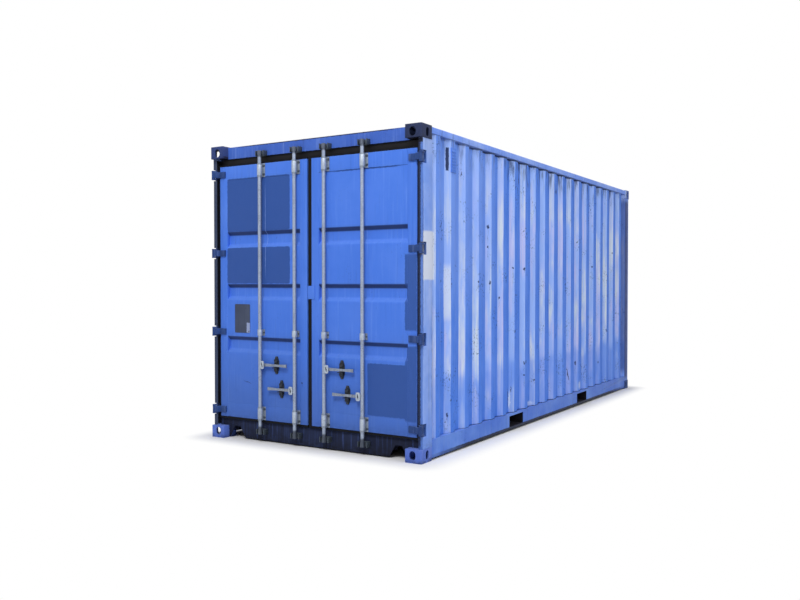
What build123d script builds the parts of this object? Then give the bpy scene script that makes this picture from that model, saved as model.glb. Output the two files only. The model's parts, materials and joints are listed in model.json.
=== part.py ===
"""A steel box container, twenty feet long, with corrugated walls and a pair of cargo doors.

Frame: millimetres, +Z up, origin under the middle of the box at ground level. The length runs along X,
with the doors at -X and the blind end at +X. The right-hand door, seen from outside, is at -Y.
"""

import os

from build123d import *

# Overall outside size, over the corner castings
LENGTH = 6058.0
WIDTH = 2438.0
HEIGHT = 2896.0

# Corner castings and their lifting and locking holes
CASTING_LENGTH = 178.0
CASTING_WIDTH = 162.0
CASTING_HEIGHT = 118.0
CASTING_WALL = 12.0
CASTING_PLATE = 24.0
CASTING_ROUND = 12.0
APERTURE_LENGTH = 124.5
APERTURE_WIDTH = 63.5
APERTURE_FROM_END = 102.5
APERTURE_FROM_SIDE = 89.5
END_HOLE_WIDTH = 63.5
SIDE_HOLE_WIDTH = 51.0
HOLE_HEIGHT = 79.5

# Corner posts, set in from the faces of the castings
FRAME_INSET = 6.0
POST_LENGTH = 160.0
REAR_POST_LENGTH = 197.0
POST_SIDE = 44.0
POST_WALL = 6.0
POST_FRONT_INSET = 34.0
LIP_WIDTH = 18.0
LIP_DEPTH = 60.0
HINGE_POCKET = 110.0

# Rails of the frame
TOP_RAIL = 60.0
TOP_RAIL_WALL = 4.0
TOP_RAIL_INSET = 6.0
BOTTOM_RAIL_BASE = 17.0
BOTTOM_RAIL_TOP = 182.0
BOTTOM_RAIL_FLANGE = 48.0
BOTTOM_RAIL_LIP = 30.0
BOTTOM_RAIL_WALL = 4.5

# Header and sill of the doorway
DOORWAY_INSET = 80.0
DOORWAY_DEPTH = 80.0
HEADER_HEIGHT = 118.0
HEADER_WALL = 5.0
STOP_DROP = 52.0
STOP_DEPTH = 40.0
STOP_SETBACK = 20.0
SILL_BASE = 12.0
SILL_TOP = 184.0
SILL_WALL = 6.0
SILL_BACK_HEIGHT = 124.0
RELIEF_FROM_CASTING = 114.0
RELIEF_FOOT = 200.0
RELIEF_HEAD = 70.0
RELIEF_TOP = 120.0

# Corrugated sheet of the walls and the roof
SHEET = 2.0
WALL_INSET = 10.0
WAVE_DEPTH = 36.0
WAVE_FLAT = 72.0
WAVE_SLOPE = 68.0
WAVE_HOLLOW = 70.0
FRONT_WAVE_DEPTH = 45.0
FRONT_WAVE_FLAT = 110.0
FRONT_WAVE_SLOPE = 18.0
FRONT_WAVE_HOLLOW = 104.0
FRONT_WALL_INSET = 9.0
ROOF_WAVE_DEPTH = 20.0
ROOF_WAVE_FLAT = 91.0
ROOF_WAVE_SLOPE = 13.0
ROOF_WAVE_HOLLOW = 91.0
ROOF_DROP = 12.0
ROOF_PLATE = 4.0

# Floor and what is under it
FLOOR_THICKNESS = 28.0
FLOOR_TOP = 190.0
CROSS_HEIGHT = 122.0
CROSS_FLANGE = 45.0
CROSS_WALL = 4.0
CROSS_PITCH = 300.0
POCKET_CENTRE = 1025.0
POCKET_WIDTH = 360.0
POCKET_HEIGHT = 115.0
POCKET_WALL = 4.0
POCKET_STRAP = 200.0

# Ventilators, on the second wave from the post
VENT_WIDTH = 90.0
VENT_HEIGHT = 223.0
VENT_THICKNESS = 8.0
VENT_BELOW_TOP = 136.0

# Door leaves
RUNNING_GAP = 6.0
LEAF_INSET = 54.0
LEAF_THICKNESS = 50.0
LEAF_TUBE_WALL = 4.0
HINGE_STILE = 95.0
LOCK_STILE = 85.0
DOOR_RAIL = 137.0
PANEL_SETBACK = 2.0
GROOVE_DEPTH = 36.0
GROOVE_HEIGHT = 155.0
GROOVE_SLOPE = 35.0
GROOVE_SPACING = 517.0
GROOVES = 3
MEETING_LEFT = 45.0
MEETING_RIGHT = -5.0
GASKET_SIDE = 18.0
GASKET_TOP = 17.0
GASKET_BOTTOM = 22.0
GASKET_MEETING = 38.0
GASKET_DEPTH = 40.0
GASKET_SETBACK = 5.0
LAP_PLATE_HEIGHT = 124.0
LAP_PLATE_OVER_STILE = 42.0
LAP_PLATE_REACH = 41.0
LAP_PLATE_THICKNESS = 6.0

# Door hinges
HINGES = 4
HINGE_INSET = 16.0
HINGE_FIRST = 69.0
HINGE_LAST = 79.0
KNUCKLE_RADIUS = 14.0
KNUCKLE_HEIGHT = 60.0
KNUCKLE_GAP = 1.0
LUG_HEIGHT = 14.0
LUG_CHAMFER = 8.0
PIN_RADIUS = 8.0
PIN_FIT = 0.3
BLADE_THICKNESS = 14.0
BLADE_ON_STILE = 80.0
BLADE_POST_GAP = 8.0

# Lock bars, their cams and keepers
OUTER_BAR_Y = 598.0
INNER_BAR_Y = 172.0
BAR_INSET = 22.0
BAR_RADIUS = 17.0
BAR_FIT = 0.5
BAR_ABOVE_HEADER = 43.0
BAR_BELOW_SILL = 104.0
CAM_RADIUS = 21.0
CAM_HEIGHT = 45.0
CAM_REACH = 34.0
CAM_WIDTH = 20.0
CAM_NOSE = 6.0
KEEPER_CLEARANCE = 8.0
KEEPER_HEIGHT = 50.0
KEEPER_WALL = 8.0
KEEPER_BACK = 6.0
KEEPER_FRONT_INSET = 17.0
BRACKET_HEIGHT = 130.0
MID_BRACKET_HEIGHT = 60.0
MID_BRACKET_RISE = 853.0
BRACKET_WIDTH = 90.0
MID_BRACKET_WIDTH = 70.0
BRACKET_PLATE = 6.0
BRACKET_WALL = 4.0
BRACKET_FOLD = 12.0

# Handles and their catches
UPPER_HANDLE_RISE = 543.0
LOWER_HANDLE_RISE = 317.0
HANDLE_REACH = 328.0
HANDLE_HEIGHT = 30.0
HANDLE_THICKNESS = 12.0
HANDLE_GRIP = 110.0
HANDLE_WAIST = 20.0
PIVOT_OFFSET = 38.0
PIVOT_RADIUS = 5.0
PIVOT_FIT = 0.3
FORK_WALL = 5.0
FORK_GAP = 0.6
CATCH_AT = 182.0
CATCH_WIDTH = 60.0
CATCH_HEIGHT = 170.0
CATCH_PLATE = 6.0
CATCH_SHOULDER = 40.0
CATCH_TIP = 26.0
CATCH_SHELF = 8.0
CATCH_GAP = 5.0

# Planes and limits that the pieces share
DOOR_END = -LENGTH / 2
FRONT_END = LENGTH / 2
SIDE = WIDTH / 2
POST_TOP = HEIGHT - CASTING_HEIGHT
APERTURE_X = LENGTH / 2 - APERTURE_FROM_END
APERTURE_Y = SIDE - APERTURE_FROM_SIDE
CASTING_INNER_X = LENGTH / 2 - CASTING_LENGTH
CASTING_INNER_Y = SIDE - CASTING_WIDTH
POST_INNER_X = LENGTH / 2 - POST_LENGTH
REAR_POST_INNER_X = LENGTH / 2 - REAR_POST_LENGTH
POST_OUTER_Y = SIDE - FRAME_INSET
POST_INNER_Y = POST_OUTER_Y - POST_SIDE
FRAME_TOP = HEIGHT - TOP_RAIL_INSET
TOP_RAIL_BASE = FRAME_TOP - TOP_RAIL
FRONT_FACE = FRONT_END - FRAME_INSET
DOORWAY_FACE = DOOR_END + DOORWAY_INSET
DOORWAY_BACK = DOORWAY_FACE + DOORWAY_DEPTH
HEADER_BASE = FRAME_TOP - HEADER_HEIGHT
STOP_BASE = HEADER_BASE - STOP_DROP
LEAF_FRONT = DOOR_END + LEAF_INSET
LEAF_BACK = LEAF_FRONT + LEAF_THICKNESS
LEAF_EDGE = POST_INNER_Y - RUNNING_GAP - GASKET_SIDE
LEAF_BASE = SILL_TOP + RUNNING_GAP + GASKET_BOTTOM
LEAF_TOP = STOP_BASE - RUNNING_GAP - GASKET_TOP
PANEL_BASE = LEAF_BASE + DOOR_RAIL
PANEL_TOP = LEAF_TOP - DOOR_RAIL
PANEL_FRONT = LEAF_FRONT + PANEL_SETBACK
HINGE_X = DOOR_END + HINGE_INSET
HINGE_Y = SIDE - HINGE_INSET
BAR_X = DOOR_END + BAR_INSET
BAR_TOP = HEADER_BASE + BAR_ABOVE_HEADER
BAR_BASE = SILL_TOP - BAR_BELOW_SILL
FLOOR_BASE = FLOOR_TOP - FLOOR_THICKNESS

os.makedirs("parts", exist_ok=True)


def finish(builder, name):
    """Labels a finished piece and writes it to its own file."""
    builder.part.label = name
    export_step(builder.part, f"parts/{name}.step")


def block(x_span, y_span, z_span, mode=Mode.ADD):
    """A box between two limits on each axis."""
    middle = tuple((span[0] + span[1]) / 2 for span in (x_span, y_span, z_span))
    with Locations(middle):
        Box(x_span[1] - x_span[0], y_span[1] - y_span[0], z_span[1] - z_span[0], mode=mode)


def prism(points, base, height):
    """A plan outline, given by its corners, raised from a level by a height."""
    with BuildSketch(Plane.XY.offset(base)) as section:
        with BuildLine():
            Polyline(*points, close=True)
        make_face()
    extrude(section.sketch, amount=height)


def cut_round_castings(z_span):
    """Takes the room of the four corner castings at one level out of the piece."""
    for x_side in (-1, 1):
        for y_side in (-1, 1):
            x_limits = sorted((x_side * CASTING_INNER_X, x_side * LENGTH / 2))
            y_limits = sorted((y_side * CASTING_INNER_Y, y_side * SIDE))
            block(x_limits, y_limits, z_span, mode=Mode.SUBTRACT)


def wave_line(start, end, flat, slope, hollow, depth):
    """Points (distance, depth) of a trapezoid wave that begins and ends in its hollow."""
    crest = flat + 2 * slope
    count = round((end - start + hollow) / (crest + hollow))
    pitch = (end - start + hollow) / count
    points = []
    for index in range(count):
        foot = start + index * pitch
        points += [(foot, depth), (foot + slope, 0.0)]
        points += [(foot + pitch - hollow - slope, 0.0), (foot + pitch - hollow, depth)]
    return points


def sheet_outline(points, thickness):
    """Closes a wave line into the section of a sheet, thickened away from its crest."""
    return points + [(at, level + thickness) for at, level in reversed(points)]


# Corner castings: hollow boxes with a slot above or below and a hole in each outer wall
hole_height_middle = CASTING_PLATE + (CASTING_HEIGHT - CASTING_PLATE - CASTING_WALL) / 2
with BuildPart() as bottom_corner_castings:
    block(
        (DOOR_END, DOOR_END + CASTING_LENGTH), (-SIDE, -CASTING_INNER_Y), (0, CASTING_HEIGHT)
    )
    outer_edges = bottom_corner_castings.edges().filter_by(Axis.Z).group_by(Axis.Y)[0]
    fillet(outer_edges.sort_by(Axis.X)[0], radius=CASTING_ROUND)
    block(
        (DOOR_END + CASTING_WALL, DOOR_END + CASTING_LENGTH - CASTING_WALL),
        (-SIDE + CASTING_WALL, -CASTING_INNER_Y - CASTING_WALL),
        (CASTING_PLATE, CASTING_HEIGHT - CASTING_WALL),
        mode=Mode.SUBTRACT,
    )
    with BuildSketch(Plane.XY):
        with Locations((-APERTURE_X, -APERTURE_Y)):
            SlotOverall(APERTURE_LENGTH, APERTURE_WIDTH)
    extrude(amount=CASTING_PLATE, mode=Mode.SUBTRACT)
    with BuildSketch(Plane.YZ.offset(DOOR_END)):
        with Locations((-APERTURE_Y, hole_height_middle)):
            SlotOverall(HOLE_HEIGHT, END_HOLE_WIDTH, rotation=90)
    extrude(amount=CASTING_WALL, mode=Mode.SUBTRACT)
    with BuildSketch(Plane.XZ.offset(SIDE)):
        with Locations((-APERTURE_X, hole_height_middle)):
            SlotOverall(HOLE_HEIGHT, SIDE_HOLE_WIDTH, rotation=90)
    extrude(amount=-CASTING_WALL, mode=Mode.SUBTRACT)
    mirror(about=Plane.YZ)
    mirror(about=Plane.XZ)
finish(bottom_corner_castings, "bottom_corner_castings")

with BuildPart() as top_corner_castings:
    mirror(bottom_corner_castings.part, about=Plane.XY.offset(HEIGHT / 2))
finish(top_corner_castings, "top_corner_castings")


def hollow_posts(outline):
    """A pair of hollow posts between the castings, from the plan outline of the one at -Y."""
    with BuildSketch(Plane.XY.offset(CASTING_HEIGHT)) as section:
        with BuildLine():
            Polyline(*outline, close=True)
        make_face()
        offset(amount=-POST_WALL, kind=Kind.INTERSECTION, mode=Mode.SUBTRACT)
    extrude(section.sketch, amount=POST_TOP - CASTING_HEIGHT)
    mirror(about=Plane.XZ)


# Rear posts: a full section, cut back at the corner only where a hinge folds round it
post_front = DOOR_END + POST_FRONT_INSET
lip_outer_y = POST_INNER_Y + LIP_WIDTH
hinge_step = (LEAF_TOP - LEAF_BASE - HINGE_FIRST - HINGE_LAST) / (HINGES - 1)
hinge_heights = [LEAF_BASE + HINGE_FIRST + index * hinge_step for index in range(HINGES)]
corner_ends = [CASTING_HEIGHT]
for middle in hinge_heights:
    corner_ends += [middle - HINGE_POCKET / 2, middle + HINGE_POCKET / 2]
corner_ends.append(POST_TOP)
with BuildPart() as rear_corner_posts:
    hollow_posts(
        [
            (post_front, -POST_INNER_Y),
            (post_front, -lip_outer_y),
            (post_front + LIP_DEPTH, -lip_outer_y),
            (post_front + LIP_DEPTH, -POST_OUTER_Y),
            (-REAR_POST_INNER_X, -POST_OUTER_Y),
            (-REAR_POST_INNER_X, -POST_INNER_Y),
        ]
    )
    for y_side in (-1, 1):
        corner_y = sorted((y_side * lip_outer_y, y_side * POST_OUTER_Y))
        hollow_y = sorted((y_side * lip_outer_y, y_side * (POST_OUTER_Y - POST_WALL)))
        for base, top in zip(corner_ends[::2], corner_ends[1::2]):
            block((post_front, post_front + LIP_DEPTH), corner_y, (base, top))
            block(
                (post_front + POST_WALL, post_front + LIP_DEPTH),
                hollow_y,
                (base, top - POST_WALL),
                mode=Mode.SUBTRACT,
            )
finish(rear_corner_posts, "rear_corner_posts")

with BuildPart() as front_corner_posts:
    hollow_posts(
        [
            (POST_INNER_X, -POST_INNER_Y),
            (POST_INNER_X, -POST_OUTER_Y),
            (FRONT_FACE, -POST_OUTER_Y),
            (FRONT_FACE, -POST_INNER_Y),
        ]
    )
finish(front_corner_posts, "front_corner_posts")


# Doorway: a hollow header with a stop below it, and a folded sill with relief cut-outs
with BuildPart() as door_header:
    block((DOORWAY_FACE, DOORWAY_BACK), (-CASTING_INNER_Y, CASTING_INNER_Y), (HEADER_BASE, FRAME_TOP))
    block(
        (DOORWAY_FACE + HEADER_WALL, DOORWAY_BACK - HEADER_WALL),
        (-CASTING_INNER_Y, CASTING_INNER_Y),
        (HEADER_BASE + HEADER_WALL, FRAME_TOP - HEADER_WALL),
        mode=Mode.SUBTRACT,
    )
    stop_front = DOORWAY_FACE + STOP_SETBACK
    block((stop_front, stop_front + STOP_DEPTH), (-POST_INNER_Y, POST_INNER_Y), (STOP_BASE, HEADER_BASE))
finish(door_header, "door_header")

with BuildPart() as door_sill:
    block((DOORWAY_FACE, DOORWAY_BACK), (-POST_INNER_Y, POST_INNER_Y), (SILL_BASE, SILL_TOP))
    block(
        (DOORWAY_FACE + SILL_WALL, DOORWAY_BACK - SILL_WALL),
        (-POST_INNER_Y, POST_INNER_Y),
        (SILL_BASE, SILL_TOP - SILL_WALL),
        mode=Mode.SUBTRACT,
    )
    block(
        (DOORWAY_BACK - SILL_WALL, DOORWAY_BACK),
        (-POST_INNER_Y, POST_INNER_Y),
        (SILL_BASE, SILL_TOP - SILL_BACK_HEIGHT),
        mode=Mode.SUBTRACT,
    )
    cut_round_castings((0, CASTING_HEIGHT))
    with BuildSketch(Plane.YZ.offset(DOORWAY_FACE)):
        relief_middle = CASTING_INNER_Y - RELIEF_FROM_CASTING
        for y_side in (-1, 1):
            with BuildLine():
                Polyline(
                    (y_side * relief_middle - RELIEF_FOOT / 2, SILL_BASE),
                    (y_side * relief_middle + RELIEF_FOOT / 2, SILL_BASE),
                    (y_side * relief_middle + RELIEF_HEAD / 2, RELIEF_TOP),
                    (y_side * relief_middle - RELIEF_HEAD / 2, RELIEF_TOP),
                    close=True,
                )
            make_face()
    extrude(amount=DOORWAY_DEPTH, mode=Mode.SUBTRACT)
finish(door_sill, "door_sill")


# Front frame
with BuildPart() as front_top_rail:
    block(
        (FRONT_FACE - TOP_RAIL, FRONT_FACE),
        (-CASTING_INNER_Y, CASTING_INNER_Y),
        (TOP_RAIL_BASE, FRAME_TOP),
    )
    block(
        (FRONT_FACE - TOP_RAIL + TOP_RAIL_WALL, FRONT_FACE - TOP_RAIL_WALL),
        (-CASTING_INNER_Y, CASTING_INNER_Y),
        (TOP_RAIL_BASE + TOP_RAIL_WALL, FRAME_TOP - TOP_RAIL_WALL),
        mode=Mode.SUBTRACT,
    )
finish(front_top_rail, "front_top_rail")

with BuildPart() as front_bottom_rail:
    block(
        (FRONT_FACE - TOP_RAIL, FRONT_FACE),
        (-POST_INNER_Y, POST_INNER_Y),
        (BOTTOM_RAIL_BASE, BOTTOM_RAIL_TOP),
    )
    block(
        (FRONT_FACE - TOP_RAIL, FRONT_FACE - BOTTOM_RAIL_WALL),
        (-POST_INNER_Y, POST_INNER_Y),
        (BOTTOM_RAIL_BASE + BOTTOM_RAIL_WALL, BOTTOM_RAIL_TOP - BOTTOM_RAIL_WALL),
        mode=Mode.SUBTRACT,
    )
    cut_round_castings((0, CASTING_HEIGHT))
finish(front_bottom_rail, "front_bottom_rail")


# Side rails: square tubes above, folded channels with fork openings below
with BuildPart() as top_side_rails:
    rail_inner_y = POST_OUTER_Y - TOP_RAIL
    block((-CASTING_INNER_X, CASTING_INNER_X), (-POST_OUTER_Y, -rail_inner_y), (TOP_RAIL_BASE, FRAME_TOP))
    block(
        (-CASTING_INNER_X, CASTING_INNER_X),
        (-POST_OUTER_Y + TOP_RAIL_WALL, -rail_inner_y - TOP_RAIL_WALL),
        (TOP_RAIL_BASE + TOP_RAIL_WALL, FRAME_TOP - TOP_RAIL_WALL),
        mode=Mode.SUBTRACT,
    )
    mirror(about=Plane.XZ)
finish(top_side_rails, "top_side_rails")

pocket_top = FLOOR_BASE - POCKET_WALL
pocket_base = pocket_top - POCKET_HEIGHT
with BuildPart() as bottom_side_rails:
    block(
        (-CASTING_INNER_X, POST_INNER_X),
        (-POST_OUTER_Y, -POST_OUTER_Y + BOTTOM_RAIL_WALL),
        (BOTTOM_RAIL_BASE, BOTTOM_RAIL_TOP),
    )
    block(
        (-CASTING_INNER_X, -REAR_POST_INNER_X),
        (-POST_OUTER_Y, -POST_INNER_Y),
        (CASTING_HEIGHT, BOTTOM_RAIL_TOP),
        mode=Mode.SUBTRACT,
    )
    block(
        (-REAR_POST_INNER_X, POST_INNER_X),
        (-POST_OUTER_Y, -POST_OUTER_Y + BOTTOM_RAIL_FLANGE),
        (BOTTOM_RAIL_TOP - BOTTOM_RAIL_WALL, BOTTOM_RAIL_TOP),
    )
    block(
        (-CASTING_INNER_X, POST_INNER_X),
        (-POST_OUTER_Y, -POST_OUTER_Y + BOTTOM_RAIL_LIP),
        (BOTTOM_RAIL_BASE, BOTTOM_RAIL_BASE + BOTTOM_RAIL_WALL),
    )
    for x_side in (-1, 1):
        block(
            (x_side * POCKET_CENTRE - POCKET_WIDTH / 2, x_side * POCKET_CENTRE + POCKET_WIDTH / 2),
            (-POST_OUTER_Y, -POST_OUTER_Y + BOTTOM_RAIL_WALL),
            (pocket_base, pocket_top),
            mode=Mode.SUBTRACT,
        )
    mirror(about=Plane.XZ)
    cut_round_castings((0, CASTING_HEIGHT))
finish(bottom_side_rails, "bottom_side_rails")


# Walls and roof of corrugated sheet
side_face = SIDE - WALL_INSET
last_foot = POST_INNER_X - WAVE_SLOPE
side_wave = wave_line(
    -REAR_POST_INNER_X, last_foot - WAVE_HOLLOW, WAVE_FLAT, WAVE_SLOPE, WAVE_HOLLOW, WAVE_DEPTH
)
side_wave += [(last_foot, WAVE_DEPTH), (POST_INNER_X, 0.0)]
with BuildPart() as right_side_wall:
    plan = [(at, level - side_face) for at, level in sheet_outline(side_wave, SHEET)]
    prism(plan, BOTTOM_RAIL_TOP, TOP_RAIL_BASE - BOTTOM_RAIL_TOP)
    cut_round_castings((POST_TOP, HEIGHT))
finish(right_side_wall, "right_side_wall")

with BuildPart() as left_side_wall:
    mirror(right_side_wall.part, about=Plane.XZ)
finish(left_side_wall, "left_side_wall")

front_wave = wave_line(
    -POST_INNER_Y, POST_INNER_Y, FRONT_WAVE_FLAT, FRONT_WAVE_SLOPE, FRONT_WAVE_HOLLOW, FRONT_WAVE_DEPTH
)
with BuildPart() as front_wall:
    front_crest = FRONT_END - FRONT_WALL_INSET
    plan = [(front_crest - level, at) for at, level in sheet_outline(front_wave, SHEET)]
    prism(plan, BOTTOM_RAIL_TOP, TOP_RAIL_BASE - BOTTOM_RAIL_TOP)
    cut_round_castings((POST_TOP, HEIGHT))
finish(front_wall, "front_wall")

roof_crest = HEIGHT - ROOF_DROP
roof_wave = wave_line(
    DOORWAY_BACK, CASTING_INNER_X, ROOF_WAVE_FLAT, ROOF_WAVE_SLOPE, ROOF_WAVE_HOLLOW, ROOF_WAVE_DEPTH
)
with BuildPart() as roof_panel:
    with BuildSketch(Plane.XZ):
        with BuildLine():
            outline = sheet_outline(roof_wave, SHEET)
            Polyline(*[(at, roof_crest - level) for at, level in outline], close=True)
        make_face()
    extrude(amount=rail_inner_y, both=True)
    cut_round_castings((POST_TOP, HEIGHT))
finish(roof_panel, "roof_panel")

with BuildPart() as front_roof_plate:
    plate_top = roof_crest - ROOF_WAVE_DEPTH
    block(
        (CASTING_INNER_X, FRONT_FACE - TOP_RAIL),
        (-CASTING_INNER_Y, CASTING_INNER_Y),
        (plate_top - ROOF_PLATE, plate_top),
    )
finish(front_roof_plate, "front_roof_plate")


# Floor, the channels that carry it and the fork tunnels between them
web_inner_y = POST_OUTER_Y - BOTTOM_RAIL_WALL
floor_edge = POST_OUTER_Y - BOTTOM_RAIL_FLANGE
floor_end = FRONT_FACE - TOP_RAIL
with BuildPart() as plywood_floor:
    block((DOORWAY_BACK, floor_end), (-floor_edge, floor_edge), (FLOOR_BASE, FLOOR_TOP))
finish(plywood_floor, "plywood_floor")

with BuildPart() as cross_members:
    member_count = int((floor_end - DOORWAY_BACK) // CROSS_PITCH)
    member_start = -(member_count - 1) * CROSS_PITCH / 2
    pocket_reach = POCKET_WIDTH / 2 + POCKET_WALL + CROSS_FLANGE
    for index in range(member_count):
        x_at = member_start + index * CROSS_PITCH
        if abs(abs(x_at) - POCKET_CENTRE) > pocket_reach:
            with BuildSketch(Plane.XZ):
                with Locations((x_at, FLOOR_BASE - CROSS_HEIGHT / 2)):
                    Rectangle(CROSS_FLANGE, CROSS_HEIGHT)
                with Locations((x_at + CROSS_WALL, FLOOR_BASE - CROSS_HEIGHT / 2)):
                    Rectangle(CROSS_FLANGE, CROSS_HEIGHT - 2 * CROSS_WALL, mode=Mode.SUBTRACT)
            extrude(amount=web_inner_y, both=True)
finish(cross_members, "cross_members")

with BuildPart() as forklift_pockets:
    for x_side in (-1, 1):
        x_at = x_side * POCKET_CENTRE
        half_width = POCKET_WIDTH / 2
        block(
            (x_at - half_width - POCKET_WALL, x_at + half_width + POCKET_WALL),
            (-web_inner_y, web_inner_y),
            (pocket_base - POCKET_WALL, FLOOR_BASE),
        )
        block(
            (x_at - half_width, x_at + half_width),
            (-web_inner_y, web_inner_y),
            (pocket_base, pocket_top),
            mode=Mode.SUBTRACT,
        )
        block(
            (x_at - half_width, x_at + half_width),
            (-web_inner_y + POCKET_STRAP, web_inner_y - POCKET_STRAP),
            (pocket_base - POCKET_WALL, pocket_base),
            mode=Mode.SUBTRACT,
        )
finish(forklift_pockets, "forklift_pockets")


# Ventilators, one on each side wall, on the second crest from opposite ends
crest_middles = [(start + end) / 2 for (start, _), (end, _) in zip(side_wave[1::4], side_wave[2::4])]
vent_x = crest_middles[1]
with BuildPart() as side_ventilators:
    vent_top = HEIGHT - VENT_BELOW_TOP
    block(
        (vent_x - VENT_WIDTH / 2, vent_x + VENT_WIDTH / 2),
        (-side_face - VENT_THICKNESS, -side_face),
        (vent_top - VENT_HEIGHT, vent_top),
    )
    outer_face = side_ventilators.faces().sort_by(Axis.Y)[0]
    chamfer(outer_face.edges(), length=VENT_THICKNESS / 2)
    far_vent = side_ventilators.part.rotate(Axis.Z, 180)
    add(far_vent.moved(Location((crest_middles[-2] + vent_x, 0, 0))))
finish(side_ventilators, "side_ventilators")


# Hinge lugs on the posts, each pair with the pin that is welded into it
lug_offset = KNUCKLE_HEIGHT / 2 + KNUCKLE_GAP
nose_x = HINGE_X - KNUCKLE_RADIUS
with BuildPart() as hinge_lugs:
    for middle in hinge_heights:
        for base in (middle + lug_offset, middle - lug_offset - LUG_HEIGHT):
            with BuildSketch(Plane.XY.offset(base)):
                with BuildLine():
                    Polyline(
                        (nose_x + LUG_CHAMFER, -HINGE_Y + KNUCKLE_RADIUS),
                        (post_front, -POST_INNER_Y),
                        (post_front, -lip_outer_y),
                        (post_front + LIP_DEPTH / 2, -lip_outer_y),
                        (post_front + LIP_DEPTH / 2, -POST_OUTER_Y),
                        (nose_x + LUG_CHAMFER, -HINGE_Y - KNUCKLE_RADIUS),
                        (nose_x, -HINGE_Y - KNUCKLE_RADIUS + LUG_CHAMFER),
                        (nose_x, -HINGE_Y + KNUCKLE_RADIUS - LUG_CHAMFER),
                        close=True,
                    )
                make_face()
            extrude(amount=LUG_HEIGHT)
        with Locations((HINGE_X, -HINGE_Y, middle)):
            Cylinder(PIN_RADIUS, 2 * lug_offset)
    mirror(about=Plane.XZ)
finish(hinge_lugs, "hinge_lugs")


# Keepers: open-fronted pairs of ears that the cams of the lock bars turn between
bar_places = (OUTER_BAR_Y, INNER_BAR_Y, -INNER_BAR_Y, -OUTER_BAR_Y)
ear_inner = CAM_REACH + KEEPER_CLEARANCE
ear_outer = ear_inner + KEEPER_WALL


def cam_keepers(middle):
    """A row of four keepers on the doorway's face, around a height."""
    z_span = (middle - KEEPER_HEIGHT / 2, middle + KEEPER_HEIGHT / 2)
    for y_at in bar_places:
        block((DOORWAY_FACE - KEEPER_BACK, DOORWAY_FACE), (y_at - ear_outer, y_at + ear_outer), z_span)
        for y_span in ((y_at - ear_outer, y_at - ear_inner), (y_at + ear_inner, y_at + ear_outer)):
            block((DOOR_END + KEEPER_FRONT_INSET, DOORWAY_FACE - KEEPER_BACK), y_span, z_span)


with BuildPart() as header_cam_keepers:
    cam_keepers(BAR_TOP - CAM_HEIGHT / 2)
finish(header_cam_keepers, "header_cam_keepers")

with BuildPart() as sill_cam_keepers:
    cam_keepers(BAR_BASE + CAM_HEIGHT / 2)
finish(sill_cam_keepers, "sill_cam_keepers")


# Lock bars, each with a cam at both ends and a fork that carries its handle
upper_handle = LEAF_BASE + UPPER_HANDLE_RISE
lower_handle = LEAF_BASE + LOWER_HANDLE_RISE
lock_bars = {
    "left_outer": (OUTER_BAR_Y, -1, upper_handle),
    "left_inner": (INNER_BAR_Y, 1, lower_handle),
    "right_inner": (-INNER_BAR_Y, -1, upper_handle),
    "right_outer": (-OUTER_BAR_Y, 1, lower_handle),
}
for bar_name, (bar_y, points_to, handle_z) in lock_bars.items():
    pivot_y = bar_y + points_to * PIVOT_OFFSET
    fork_inner = HANDLE_THICKNESS / 2 + FORK_GAP
    with BuildPart() as lock_bar:
        with Locations((BAR_X, bar_y, (BAR_TOP + BAR_BASE) / 2)):
            Cylinder(BAR_RADIUS, BAR_TOP - BAR_BASE)
        for cam_base in (BAR_BASE, BAR_TOP - CAM_HEIGHT):
            with BuildSketch(Plane.XY.offset(cam_base)):
                with Locations((BAR_X, bar_y)):
                    RegularPolygon(CAM_RADIUS, side_count=8)
                with BuildLine():
                    Polyline(
                        (BAR_X, bar_y - CAM_WIDTH / 2),
                        (BAR_X + CAM_REACH - CAM_NOSE, bar_y - CAM_WIDTH / 2),
                        (BAR_X + CAM_REACH, bar_y - CAM_WIDTH / 2 + CAM_NOSE),
                        (BAR_X + CAM_REACH, bar_y + CAM_WIDTH / 2 - CAM_NOSE),
                        (BAR_X + CAM_REACH - CAM_NOSE, bar_y + CAM_WIDTH / 2),
                        (BAR_X, bar_y + CAM_WIDTH / 2),
                        close=True,
                    )
                make_face()
            extrude(amount=CAM_HEIGHT)
        for ear_side in (-1, 1):
            ear_x = sorted((BAR_X + ear_side * fork_inner, BAR_X + ear_side * (fork_inner + FORK_WALL)))
            ear_y = sorted((bar_y, pivot_y + points_to * HANDLE_HEIGHT / 2))
            block(ear_x, ear_y, (handle_z - HANDLE_HEIGHT / 2, handle_z + HANDLE_HEIGHT / 2))
        with Locations(Location((BAR_X, pivot_y, handle_z), (0, 90, 0))):
            Cylinder(PIVOT_RADIUS, 2 * (fork_inner + FORK_WALL))
    finish(lock_bar, f"{bar_name}_lock_bar")

    with BuildPart() as handle:
        with BuildSketch(Plane.YZ.offset(BAR_X - HANDLE_THICKNESS / 2)):
            with Locations((pivot_y, handle_z)):
                Circle(HANDLE_HEIGHT / 2)
            arm_end = bar_y + points_to * HANDLE_REACH
            grip_start = arm_end - points_to * HANDLE_GRIP
            with BuildLine():
                Polyline(
                    (pivot_y, handle_z + HANDLE_HEIGHT / 2),
                    (grip_start, handle_z + HANDLE_WAIST / 2),
                    (arm_end, handle_z + HANDLE_HEIGHT / 2),
                    (arm_end, handle_z - HANDLE_HEIGHT / 2),
                    (grip_start, handle_z - HANDLE_WAIST / 2),
                    (pivot_y, handle_z - HANDLE_HEIGHT / 2),
                    close=True,
                )
            make_face()
            with Locations((pivot_y, handle_z)):
                Circle(PIVOT_RADIUS + PIVOT_FIT, mode=Mode.SUBTRACT)
        extrude(amount=HANDLE_THICKNESS)
    finish(handle, f"{bar_name}_handle")


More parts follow.
